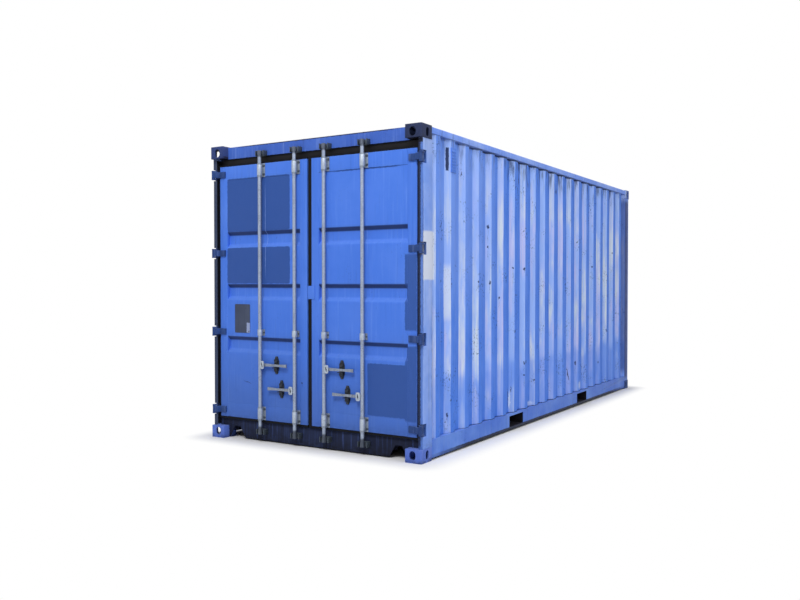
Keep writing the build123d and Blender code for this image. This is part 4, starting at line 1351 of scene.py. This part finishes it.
@dataclass
class BoltSet:
    """Hexagon bolts with round washers, all alike, on the pieces of one body.

    Attributes:
        name: The set's name.
        body: The CAD body that it moves with.
        places: Where the foot of each bolt is, in millimetres.
        radius: Half the width of a head, in millimetres.
        height: Height of a head, in millimetres.
        finish: What its surface is.
        spin: Turn from each bolt to the next, in degrees.
        washer: Width of the washer, as a share of the head's.
        washer_height: Thickness of the washer, in millimetres.
        crown: Width and height of the worn edge, as a share of the head's.
    """

    name: str
    body: str
    places: tuple[Place, ...]
    radius: float = 9.0
    height: float = 7.0
    finish: Finish = BOLT_ZINC
    spin: float = 17.0
    washer: float = 1.35
    washer_height: float = 2.0
    crown: float = 0.22

    def build(self) -> bpy.types.Object:
        """Models one, copies it to every place, joins the copies and dresses them.

        Returns:
            The finished set.
        """
        pattern = self.model()
        copies = []
        for number, place in enumerate(self.places):
            bolt = link_new(f"{self.name}_{number}", pattern.data.copy())
            spin = Matrix.Rotation(math.radians(self.spin * number), 4, "X")
            bolt.data.transform(Matrix.Translation(Vector(place) * MM) @ spin)
            copies.append(bolt)
        bpy.data.objects.remove(pattern)
        only(copies[0])
        for bolt in copies[1:]:
            bolt.select_set(True)
        bpy.ops.object.join()
        piece = bpy.context.view_layer.objects.active
        piece.name = self.name
        return dress(piece, self.finish, self.body, crease=SMALL_CREASE)

    def model(self) -> bpy.types.Object:
        """Models a bolt that looks along -X: a washer, and a six-sided head with a worn crown.

        Returns:
            The bolt, with the middle of its foot at the origin.
        """
        washer = start_drum(12, self.radius * self.washer, self.washer_height)
        head = start_drum(6, self.radius, self.height, self.height / 2)
        with editing(head):
            pick(head, Part.FACES, looks_out)
            edge = self.crown * MM
            bpy.ops.mesh.inset(thickness=self.radius * edge, depth=self.height * edge)
        only(head)
        washer.select_set(True)
        bpy.ops.object.join()
        return bpy.context.view_layer.objects.active


@dataclass
class CatchLobes(BoltSet):
    """Rounded cast lobes on the catches, above and below the handle that drops between them.

    Attributes:
        ledge: Width of the flat ring on top, as a share of the radius.
        slope: Width of the slope inside it, as a share of the radius.
        hollow: Depth of the hollow that the slope ends in, as a share of the height.
        rounding: Rounding of the top, as a share of the height.
    """

    radius: float = 22.0
    height: float = 14.0
    finish: Finish = CATCH_IRON
    ledge: float = 0.4
    slope: float = 0.15
    hollow: float = 0.3
    rounding: float = 0.2

    def model(self) -> bpy.types.Object:
        """Models a lobe that looks along -X: a low drum, hollowed on top and rounded to a blunt ring.

        Returns:
            The lobe, with the middle of its foot at the origin.
        """
        lobe = start_drum(16, self.radius, self.height, self.height / 2)
        with editing(lobe):
            pick(lobe, Part.FACES, looks_out)
            bpy.ops.mesh.inset(thickness=self.radius * self.ledge * MM, depth=0.0)
            sunk = -self.height * self.hollow * MM
            bpy.ops.mesh.inset(thickness=self.radius * self.slope * MM, depth=sunk)
            round_edges(lobe, self.is_top, self.height * self.rounding)
        return lobe

    def is_top(self, edge: bmesh.types.BMEdge) -> bool:
        """Says whether an edge lies in the top of the drum."""
        return all(vert.co.x < -0.99 * self.height * MM for vert in edge.verts)


@dataclass
class BarSleeves(BoltSet):
    """Pale sleeves round the lock bars, where the brackets hold them."""

    radius: float = 24.0
    height: float = 60.0
    finish: Finish = SLEEVE_ZINC
    spin: float = 0.0
    bore: float = 18.5
    rim: float = 2.5

    def model(self) -> bpy.types.Object:
        """Models an upright sleeve: a drum, bored through from end to end, with rounded rims.

        Returns:
            The sleeve, with its middle at the origin.
        """
        sleeve = start_drum(24, self.radius, self.height, turn=STANDING)
        with editing(sleeve):
            pick(sleeve, Part.FACES, lambda face: abs(face.normal.z) > SQUARE_ON)
            bpy.ops.mesh.inset(thickness=(self.radius - self.bore) * MM, depth=0.0, use_individual=True)
            bpy.ops.mesh.bridge_edge_loops()
            round_edges(sleeve, self.is_rim, self.rim)
        return sleeve

    def is_rim(self, edge: bmesh.types.BMEdge) -> bool:
        """Says whether an edge runs round the outside of an end."""
        return all(
            abs(vert.co.z) > 0.49 * self.height * MM and vert.co.xy.length > 0.99 * self.radius * MM
            for vert in edge.verts
        )


@dataclass
class HandleHub:
    """The pale cast block that holds a handle's pin on the front of its lock bar.

    Attributes:
        bar: Which lock bar it is on.
        bar_across: Where the bar's axis is across the box, in millimetres.
        fork: From the handle's front to the block, in millimetres.
        root: From the handle's root end to its pin, in millimetres.
        width: Width of the block.
        height: Height of the block.
        depth: Depth of the block.
        corner: Rounding of its corners.
        border: Width of the slope round the raised boss.
        boss: Height of the boss.
        collar: From the boss's edge to the pin head.
        pin_gap: Width of the groove round the pin.
        pin_depth: Depth of the hole that the pin head lies in.
    """

    bar: str
    bar_across: float
    fork: float = 5.6
    root: float = 15.0
    width: float = 44.0
    height: float = 76.0
    depth: float = 7.0
    corner: float = 13.0
    border: float = 5.0
    boss: float = 1.5
    collar: float = 9.0
    pin_gap: float = 1.0
    pin_depth: float = 2.5

    def build(self) -> bpy.types.Object:
        """Models the block over the fork of the bar, with rounded corners, a raised boss and a pin head.

        Returns:
            The finished hub.
        """
        low, high = (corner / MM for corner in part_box(f"{self.bar}_handle"))
        points_left = (low.y + high.y) / 2 > self.bar_across
        pivot = low.y + self.root if points_left else high.y - self.root
        face = low.x - self.fork
        middle = Vector((face - self.depth / 2, pivot, (low.z + high.z) / 2))
        size = (self.depth * MM, self.width * MM, self.height * MM)
        hub = start_block(f"{self.bar}_handle_hub", middle * MM, size)
        with editing(hub):
            round_edges(hub, lambda edge: runs_along(edge, Axis.X), self.corner, 4)
            pick(hub, Part.FACES, looks_out)
            bpy.ops.mesh.inset(thickness=self.border * MM, depth=self.boss * MM)
            bpy.ops.mesh.inset(thickness=self.collar * MM, depth=0.0)
            bpy.ops.mesh.inset(thickness=self.pin_gap * MM, depth=-self.pin_depth * MM)
        return dress(hub, SLEEVE_ZINC, f"{self.bar}_bar", crease=SMALL_CREASE)


@dataclass
class Ventilator:
    """A pressed cover over the air holes of a side wall: a rimmed hood with a row of louvres.

    Attributes:
        width: Width of the cover, in millimetres.
        thickness: How far it stands out from the wall.
        rim: Width of its rim.
        sink: How far its field lies behind the rim.
        louvres: Number of louvres.
        throw: How far a louvre stands out of the field.
        droop: How far its lip hangs down.
        rounding: Rounding of the rim's outer edges.
    """

    width: float = 90.0
    thickness: float = 8.0
    rim: float = 9.0
    sink: float = 3.0
    louvres: int = 7
    throw: float = 5.0
    droop: float = 4.0
    rounding: float = 2.5

    def build(self) -> list[bpy.types.Object]:
        """Models the cover on the near side, then turns a copy to the far side.

        Returns:
            The two covers.
        """
        low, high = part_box("side_ventilators")
        size = (self.width * MM, self.thickness * MM, high.z - low.z)
        middle = Vector((low.x + size[0] / 2, low.y + size[1] / 2, (low.z + high.z) / 2))
        near = self.model(middle, size)
        far = link_new("left_ventilator_cover", near.data.copy())
        pivot = Matrix.Translation((low + high) / 2)
        far.data.transform(pivot @ Matrix.Rotation(math.pi, 4, "Z") @ pivot.inverted())
        for cover in (near, far):
            dress(cover, VENTILATOR_PAINT, "frame", ("side_ventilators",), SMALL_CREASE)
        return [near, far]

    def model(self, middle: Vector, size: Sequence[float]) -> bpy.types.Object:
        """Models a cover that looks along -Y: rim, sunk field and louvres with dark gaps between.

        Args:
            middle: Middle of its box, in metres.
            size: Its box, in metres.

        Returns:
            The cover, at the origin.
        """
        cover = start_block("right_ventilator_cover", middle, size)
        field = middle.y - size[1] / 2 + self.sink * MM
        tall = size[2] - 2 * self.rim * MM
        base = middle.z - tall / 2
        bays = 2 * self.louvres + 1
        blades = [base + tall * (2 * number + 1.5) / bays for number in range(self.louvres)]
        near = tall / bays / 2
        with editing(cover):
            pick(cover, Part.FACES, lambda face: face.normal.y < -SQUARE_ON)
            bpy.ops.mesh.inset(thickness=self.rim * MM, depth=-self.sink * MM)
            for number in range(1, bays):
                pick(cover, Part.FACES, lambda face: self.in_field(face, field))
                level = base + tall * number / bays
                bpy.ops.mesh.bisect(plane_co=(0, 0, level), plane_no=(0, 0, 1), use_fill=False)
            pick(
                cover,
                Part.FACES,
                lambda face: self.in_field(face, field)
                and any(abs(face.calc_center_median().z - at) < near for at in blades),
            )
            lip = (0, -self.throw * MM, -self.droop * MM)
            bpy.ops.mesh.extrude_region_move(TRANSFORM_OT_translate={"value": lip})
            round_edges(cover, lambda edge: self.is_rim(edge, middle, size), self.rounding)
        return cover

    def in_field(self, face: bmesh.types.BMFace, field: float) -> bool:
        """Says whether a face lies in the sunk field behind the louvres."""
        return face.normal.y < -SQUARE_ON and abs(face.calc_center_median().y - field) < 0.5 * MM

    def is_rim(self, edge: bmesh.types.BMEdge, middle: Vector, size: Sequence[float]) -> bool:
        """Says whether an edge is an outer edge of the cover's front.

        Args:
            edge: The edge.
            middle: Middle of the cover's box, in metres.
            size: The cover's box, in metres.

        Returns:
            Whether both its ends lie on the front and on the outline.
        """
        near = 0.01 * MM
        front = middle.y - size[1] / 2
        for vert in edge.verts:
            on_side = abs(abs(vert.co.x - middle.x) - size[0] / 2) < near
            on_end = abs(abs(vert.co.z - middle.z) - size[2] / 2) < near
            if abs(vert.co.y - front) > near or not (on_side or on_end):
                return False
        return True


@dataclass
class BarePlate:
    """A blank metal plate on the left door, with rolled corners and four rivets.

    Attributes:
        across: Where it begins and ends across the door, in millimetres.
        up: Where it begins and ends above the ground.
        face: Where the door's face is.
        thickness: Its thickness.
        corner: Rounding of its corners.
        border: Width of its raised border.
        sink: How far its field lies behind the border.
        rivet_inset: From its edges to the rivets.
        rivet_radius: Half the width of a rivet head.
        rivet_height: Height of a rivet head.
        rivet_sink: How far a rivet is let into the plate.
    """

    across: tuple[float, float] = (755.0, 951.0)
    up: tuple[float, float] = (1053.0, 1335.0)
    face: float = -2973.0
    thickness: float = 3.0
    corner: float = 10.0
    border: float = 5.0
    sink: float = 0.8
    rivet_inset: float = 16.0
    rivet_radius: float = 4.0
    rivet_height: float = 2.5
    rivet_sink: float = 0.5

    def build(self) -> bpy.types.Object:
        """Models the plate from a thin block with rounded corners and a raised border, and rivets it on.

        Returns:
            The finished plate.
        """
        size = (self.thickness, self.across[1] - self.across[0], self.up[1] - self.up[0])
        middle = (self.face - self.thickness / 2, sum(self.across) / 2, sum(self.up) / 2)
        plate = start_block(
            "left_door_bare_plate", [part * MM for part in middle], [part * MM for part in size]
        )
        with editing(plate):
            round_edges(plate, lambda edge: runs_along(edge, Axis.X), self.corner, 4)
            pick(plate, Part.FACES, looks_out)
            bpy.ops.mesh.inset(thickness=self.border * MM, depth=-self.sink * MM)
        dress(plate, PLATE_PAINT, "left_door", crease=SMALL_CREASE)
        rivets = BoltSet(
            "left_door_plate_rivets", "left_door", self.rivets(), self.rivet_radius, self.rivet_height
        )
        rivets.build()
        return plate

    def rivets(self) -> tuple[Place, ...]:
        """Gives the places of the four rivets, in from each corner.

        Returns:
            The places, in millimetres.
        """
        front = self.face - self.thickness + self.rivet_sink
        sides = (self.across[0] + self.rivet_inset, self.across[1] - self.rivet_inset)
        ends = (self.up[0] + self.rivet_inset, self.up[1] - self.rivet_inset)
        return tuple((front, side, end) for side in sides for end in ends)


@dataclass
class DoorGear:
    """Bolts, catch lobes, sleeves and handle hubs of one door leaf.

    Attributes:
        door: Which leaf it is.
        side: Which side of the middle it is on, as a sign.
        bars: Distance of each lock bar from the middle of the box, in millimetres.
        rail_face: Where the face of the leaf's rails is.
        panel_face: Where the crest of its panel is.
        bar_axis: Where the axes of the lock bars are.
        end_brackets: Heights of the brackets on the rails.
        end_bolts: Heights of their bolts.
        end_bolt_reach: Distance of these bolts from the bar's axis.
        end_sleeve: Height of the sleeves in these brackets.
        middle_bracket: Height of the brackets on the panel.
        middle_bolt_reach: Distance of their bolts from the bar's axis.
        middle_sleeve: Height of the sleeves in these brackets.
        small_radius: Half the width of the bolt heads on the panel.
        small_height: Height of these bolt heads.
        catch_reach: Distance of a catch's bolts from its handle's middle line.
        lobe_reach: Distance of a catch's lobes from that line.
        catch_search: How far above and below a handle its catch reaches at most.
    """

    door: str
    side: int
    bars: tuple[float, float] = (598.0, 172.0)
    rail_face: float = -2981.0
    panel_face: float = -2979.0
    bar_axis: float = -3007.0
    end_brackets: tuple[float, float] = (281.0, 2629.0)
    end_bolts: tuple[float, ...] = (241.0, 321.0, 2589.0, 2669.0)
    end_bolt_reach: float = 33.5
    end_sleeve: float = 100.0
    middle_bracket: float = 1065.0
    middle_bolt_reach: float = 28.0
    middle_sleeve: float = 60.0
    small_radius: float = 6.0
    small_height: float = 5.0
    catch_reach: float = 74.0
    lobe_reach: float = 44.0
    catch_search: float = 120.0

    def build(self) -> None:
        """Bolts the brackets and the catches to the leaf, and puts on the lobes, sleeves and hubs."""
        leaf = f"{self.door}_door"
        large = self.beside_bars(self.rail_face, self.end_bolt_reach, self.end_bolts)
        small = self.beside_bars(self.panel_face, self.middle_bolt_reach, (self.middle_bracket,))
        lobes = []
        for bar in BARS:
            low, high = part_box(f"{self.door}_{bar}_handle")
            small += self.on_catch(low / MM, high / MM, self.catch_reach)
            lobes += self.on_catch(low / MM, high / MM, self.lobe_reach)
        small_size = (self.small_radius, self.small_height)
        BoltSet(f"{self.door}_bracket_bolts", leaf, tuple(large)).build()
        BoltSet(f"{self.door}_catch_bolts", leaf, tuple(small), *small_size).build()
        CatchLobes(f"{self.door}_catch_lobes", leaf, tuple(lobes)).build()
        self.sleeve("middle", (self.middle_bracket,), self.middle_sleeve)
        self.sleeve("end", self.end_brackets, self.end_sleeve)
        for bar, across in zip(BARS, self.bars):
            HandleHub(f"{self.door}_{bar}", self.side * across).build()

    def beside_bars(self, face: float, reach: float, levels: Sequence[float]) -> list[Place]:
        """Gives places on both sides of each lock bar.

        Args:
            face: Where the face is that they lie on, in millimetres.
            reach: Distance from the bar's axis, in millimetres.
            levels: Their heights, in millimetres.

        Returns:
            The places.
        """
        acrosses = [self.side * bar + way * reach for bar in self.bars for way in (-1, 1)]
        return [(face, across, level) for across in acrosses for level in levels]

    def sleeve(self, kind: str, levels: Sequence[float], height: float) -> None:
        """Puts sleeves of one height round both lock bars."""
        places = tuple((self.bar_axis, self.side * bar, level) for bar in self.bars for level in levels)
        BarSleeves(f"{self.door}_{kind}_sleeves", f"{self.door}_door", places, height=height).build()

    def on_catch(self, low: Vector, high: Vector, reach: float) -> list[Place]:
        """Finds two places on the catch that a handle rests in.

        Args:
            low: Lowest corner of the handle in millimetres.
            high: Highest corner of the handle in millimetres.
            reach: How far from the handle's middle line they are, in millimetres.

        Returns:
            The places below and above the handle.
        """
        verts = frame["nodes"][f"{self.door}_handle_catches"].data.vertices
        corners = [(vert.co.y / MM, vert.co.z / MM) for vert in verts]
        acrosses = [
            y for y, z in corners if low.y < y < high.y and abs(z - low.z) < self.catch_search
        ]
        across = (min(acrosses) + max(acrosses)) / 2
        level = (low.z + high.z) / 2
        return [(self.panel_face, across, level + way * reach) for way in (-1, 1)]


@dataclass(frozen=True)
class Lamp:
    """A soft square lamp, with its places and its side in metres and its power in watts."""

    name: str
    place: Place
    target: Place
    size: float
    power: float

    def hang(self) -> None:
        """Hangs the lamp and turns it to its target."""
        data = bpy.data.lights.new(self.name, "AREA")
        data.shape = "SQUARE"
        data.size = self.size
        data.energy = self.power
        lamp = link_new(self.name, data)
        lamp.location = self.place
        lamp.rotation_euler = (Vector(self.target) - Vector(self.place)).to_track_quat("-Z", "Y").to_euler()


@dataclass
class Studio:
    """A pale floor, a white surround, soft lamps and the camera of the photograph.

    Attributes:
        eye: Where the camera stands, in millimetres.
        bearing: Where it looks over the ground, in radians from +X.
        pitch: How far it looks up, in radians.
        lens: Its focal length, in millimetres.
        sensor: Width of its sensor, in millimetres.
        far_clip: How far it sees, in metres.
        level: Strength of the even light.
        floor_side: Side of the floor, in metres.
        shadow_reach: How far from the box the floor turns white, in metres.
        lamps: The lamps.
    """

    eye: Place = (-8990.97, -4700.0, 1535.69)
    bearing: float = 0.5547
    pitch: float = -0.0199
    lens: float = 36.75
    sensor: float = 36.0
    far_clip: float = 500.0
    level: float = 0.36
    floor_side: float = 240.0
    shadow_reach: float = 0.3
    lamps: tuple[Lamp, ...] = (
        Lamp("key_lamp", (-10.0, -3.0, 9.5), (-3.0, 0.0, 1.3), 4.0, 860.0),
        Lamp("side_lamp", (-3.5, -11.5, 9.0), (0.5, -1.2, 1.3), 5.0, 520.0),
        Lamp("back_lamp", (10.0, 8.0, 9.0), (0.0, 0.0, 1.3), 6.0, 480.0),
    )

    def build(self) -> None:
        """Sets up everything that isn't part of the container."""
        self.surround()
        self.floor()
        for lamp in self.lamps:
            lamp.hang()
        self.camera()

    def surround(self) -> None:
        """Lights the scene evenly, and shows plain white to the eye and in reflections."""
        world = bpy.data.worlds.new("white_surround")
        bpy.context.scene.world = world
        world.use_nodes = True
        tree = world.node_tree
        tree.nodes.clear()
        seen = self.seen(tree)
        light = add_node(tree, "ShaderNodeBackground", {"Color": linear("#ffffff"), "Strength": self.level})
        white = add_node(tree, "ShaderNodeBackground", {"Color": linear("#ffffff"), "Strength": 1.0})
        mixed = add_node(tree, "ShaderNodeMixShader", {0: seen, 1: light.outputs[0], 2: white.outputs[0]})
        add_node(tree, "ShaderNodeOutputWorld", {0: mixed.outputs[0]})

    def seen(self, tree: bpy.types.NodeTree) -> bpy.types.NodeSocket:
        """Makes a mask of the rays that look at the surround: camera, glossy and transmission rays.

        Args:
            tree: The node tree that the mask is for.

        Returns:
            The mask's output socket.
        """
        path = add_node(tree, "ShaderNodeLightPath", {})
        mask = path.outputs["Is Camera Ray"]
        for name in ("Is Glossy Ray", "Is Transmission Ray"):
            sockets = {0: mask, 1: path.outputs[name]}
            mask = add_node(tree, "ShaderNodeMath", sockets, operation="MAXIMUM").outputs[0]
        return mask

    def floor(self) -> None:
        """Lays a large pale floor that keeps the shadow near the box and runs out into white."""
        bpy.ops.object.select_all(action="DESELECT")
        bpy.ops.mesh.primitive_plane_add(size=self.floor_side, location=(0, 0, 0))
        floor = bpy.context.active_object
        floor.name = "studio_floor"
        floor.data.materials.append(self.floor_material())

    def floor_material(self) -> bpy.types.Material:
        """Mixes the floor: matt pale grey near the box, plain white to the eye further away.

        Returns:
            The floor's material.
        """
        material = bpy.data.materials.new("pale_studio_floor")
        material.use_nodes = True
        tree = material.node_tree
        tree.nodes.clear()
        place = add_node(tree, "ShaderNodeTexCoord", {}).outputs["Object"]
        whole = add_node(tree, "ShaderNodeVectorMath", {0: place}, operation="ABSOLUTE").outputs[0]
        sockets = {0: whole, 1: tuple(CAD_BOX[1])}
        beyond = add_node(tree, "ShaderNodeVectorMath", sockets, operation="SUBTRACT").outputs[0]
        sockets = {0: beyond, 1: (0, 0, 0)}
        outside = add_node(tree, "ShaderNodeVectorMath", sockets, operation="MAXIMUM").outputs[0]
        away = add_node(tree, "ShaderNodeVectorMath", {0: outside}, operation="LENGTH").outputs["Value"]
        sockets = {"Value": away, "From Min": 0.0, "From Max": self.shadow_reach}
        fade = add_node(tree, "ShaderNodeMapRange", sockets, interpolation_type="SMOOTHSTEP").outputs[0]
        sockets = {0: fade, 1: self.seen(tree)}
        share = add_node(tree, "ShaderNodeMath", sockets, operation="MULTIPLY").outputs[0]
        pale = add_node(tree, "ShaderNodeBsdfDiffuse", {"Color": linear("#e6e6e8")}).outputs[0]
        white = add_node(tree, "ShaderNodeEmission", {"Color": linear("#ffffff"), "Strength": 1.0})
        mixed = add_node(tree, "ShaderNodeMixShader", {0: share, 1: pale, 2: white.outputs[0]})
        add_node(tree, "ShaderNodeOutputMaterial", {0: mixed.outputs[0]})
        return material

    def camera(self) -> None:
        """Stands the camera where the photograph was taken from."""
        data = bpy.data.cameras.new("photo_camera")
        data.lens = self.lens
        data.sensor_width = self.sensor
        data.clip_end = self.far_clip
        camera = link_new("photo_camera", data)
        level = math.cos(self.pitch)
        way = Vector((level * math.cos(self.bearing), level * math.sin(self.bearing), math.sin(self.pitch)))
        camera.location = Vector(self.eye) * MM
        camera.rotation_euler = way.to_track_quat("-Z", "Y").to_euler()
        bpy.context.scene.camera = camera
        bpy.context.scene.view_settings.view_transform = "Standard"


ROUNDED = (
    RoundedSteel("top_corner_castings", TOP_CASTING_PAINT, Slot.CASTING, 5.0, 60.0),
    RoundedSteel("bottom_corner_castings", BOTTOM_CASTING_PAINT, Slot.CASTING, 5.0, 60.0),
    RoundedSteel("rear_corner_posts", REAR_POST_PAINT, Slot.FRAME, 5.0, 120.0, Axis.Z, 3),
    RoundedSteel("front_corner_posts", FRONT_POST_PAINT, Slot.FRAME, 7.0, 500.0, Axis.Z, 3),
    RoundedSteel("door_header", HEADER_PAINT, Slot.FRAME, 4.0, 500.0, Axis.Y, 3),
    RoundedSteel("door_sill", SILL_PAINT, Slot.UNDERFRAME, 4.0, 300.0, Axis.Y, 3),
    RoundedSteel("front_top_rail", TOP_RAIL_PAINT, Slot.FRAME, 6.0, 500.0, Axis.Y, 3),
    RoundedSteel("front_bottom_rail", BOTTOM_RAIL_PAINT, Slot.FRAME, 4.0, 500.0, Axis.Y, 3),
    RoundedSteel("top_side_rails", TOP_RAIL_PAINT, Slot.FRAME, 7.0, 500.0, Axis.X, 3),
    RoundedSteel("bottom_side_rails", BOTTOM_RAIL_PAINT, Slot.FRAME, 3.5, 500.0, Axis.X, 3),
    RoundedSteel("hinge_lugs", HINGE_PAINT, Slot.HINGE, 2.0, 12.0),
    *(RoundedSteel(f"{side}_door_stiles", DOOR_PAINT, Slot.DOOR, 4.0, 500.0, Axis.Z, 3) for side in SIDES),
    *(RoundedSteel(f"{side}_door_rails", DOOR_PAINT, Slot.DOOR, 4.0, 500.0, Axis.Y, 3) for side in SIDES),
    *(RoundedSteel(f"{side}_hinge_blades", HINGE_PAINT, Slot.HINGE, 2.5, 25.0) for side in SIDES),
    *(
        RoundedSteel(f"{side}_bar_brackets", FITTING_ZINC, Slot.GALVANISED, 2.0, 20.0, Axis.Z)
        for side in SIDES
    ),
    *(RoundedSteel(f"{side}_handle_catches", CATCH_IRON, Slot.GALVANISED, 1.5) for side in SIDES),
    RoundedSteel("right_door_lap_plate", DOOR_PAINT, Slot.HINGE, 1.5),
    *(
        RoundedSteel(f"{rail}_cam_keepers", KEEPER_ZINC, Slot.GALVANISED, 1.5, 8.0)
        for rail in ("header", "sill")
    ),
    *(
        RoundedSteel(f"{side}_{bar}_handle", HANDLE_ZINC, Slot.GALVANISED, 2.5, 25.0)
        for side in SIDES
        for bar in BARS
    ),
)

BAYS_UP = ((Axis.Z, 12),)
BAYS_ACROSS = ((Axis.Y, 10),)
DOOR_BAYS = ((Axis.Y, 12), (Axis.Z, 24))
PRESSED = (
    PressedSheet("right_side_wall", NEAR_WALL_PAINT, Slot.SHEET, Axis.Z, 14.0, Axis.Y, 8.0, 420.0, BAYS_UP),
    PressedSheet("left_side_wall", FAR_WALL_PAINT, Slot.SHEET, Axis.Z, 14.0, Axis.Y, 8.0, 420.0, BAYS_UP),
    PressedSheet("front_wall", FRONT_WALL_PAINT, Slot.SHEET, Axis.Z, 6.0, Axis.X, 4.0, 420.0, BAYS_UP),
    PressedSheet("roof_panel", ROOF_PAINT, Slot.SHEET, Axis.Y, 4.0, Axis.Z, 4.0, 420.0, BAYS_ACROSS),
    *(
        PressedSheet(
            f"{side}_door_panel", DOOR_PAINT, Slot.DOOR, Axis.Y, 11.0, Axis.X, 3.0, 330.0, DOOR_BAYS
        )
        for side in SIDES
    ),
)

KEPT: dict[str, Finish] = {
    "front_roof_plate": ROOF_PAINT,
    "plywood_floor": Plywood(),
    "cross_members": UNDERFRAME_PAINT,
    "forklift_pockets": UNDERFRAME_PAINT,
    **{f"{side}_door_gasket": Rubber() for side in SIDES},
    **{f"{side}_{bar}_lock_bar": BAR_ZINC for side in SIDES for bar in BARS},
}


def main() -> None:
    """Builds the container's visible pieces in order, then the studio."""
    logging.basicConfig(level=logging.INFO, format="%(name)s: %(message)s")
    for part in ROUNDED + PRESSED:
        part.build()
    for node, finish in KEPT.items():
        frame["nodes"][node].data.materials.clear()
        frame["nodes"][node].data.materials.append(material_of(finish))
        LOG.info("%s: kept, in %s", node, finish.name)
    Ventilator().build()
    BarePlate().build()
    for door, side in zip(SIDES, (-1, 1)):
        DoorGear(door, side).build()
    Studio().build()


if __name__ == "__main__":
    main()
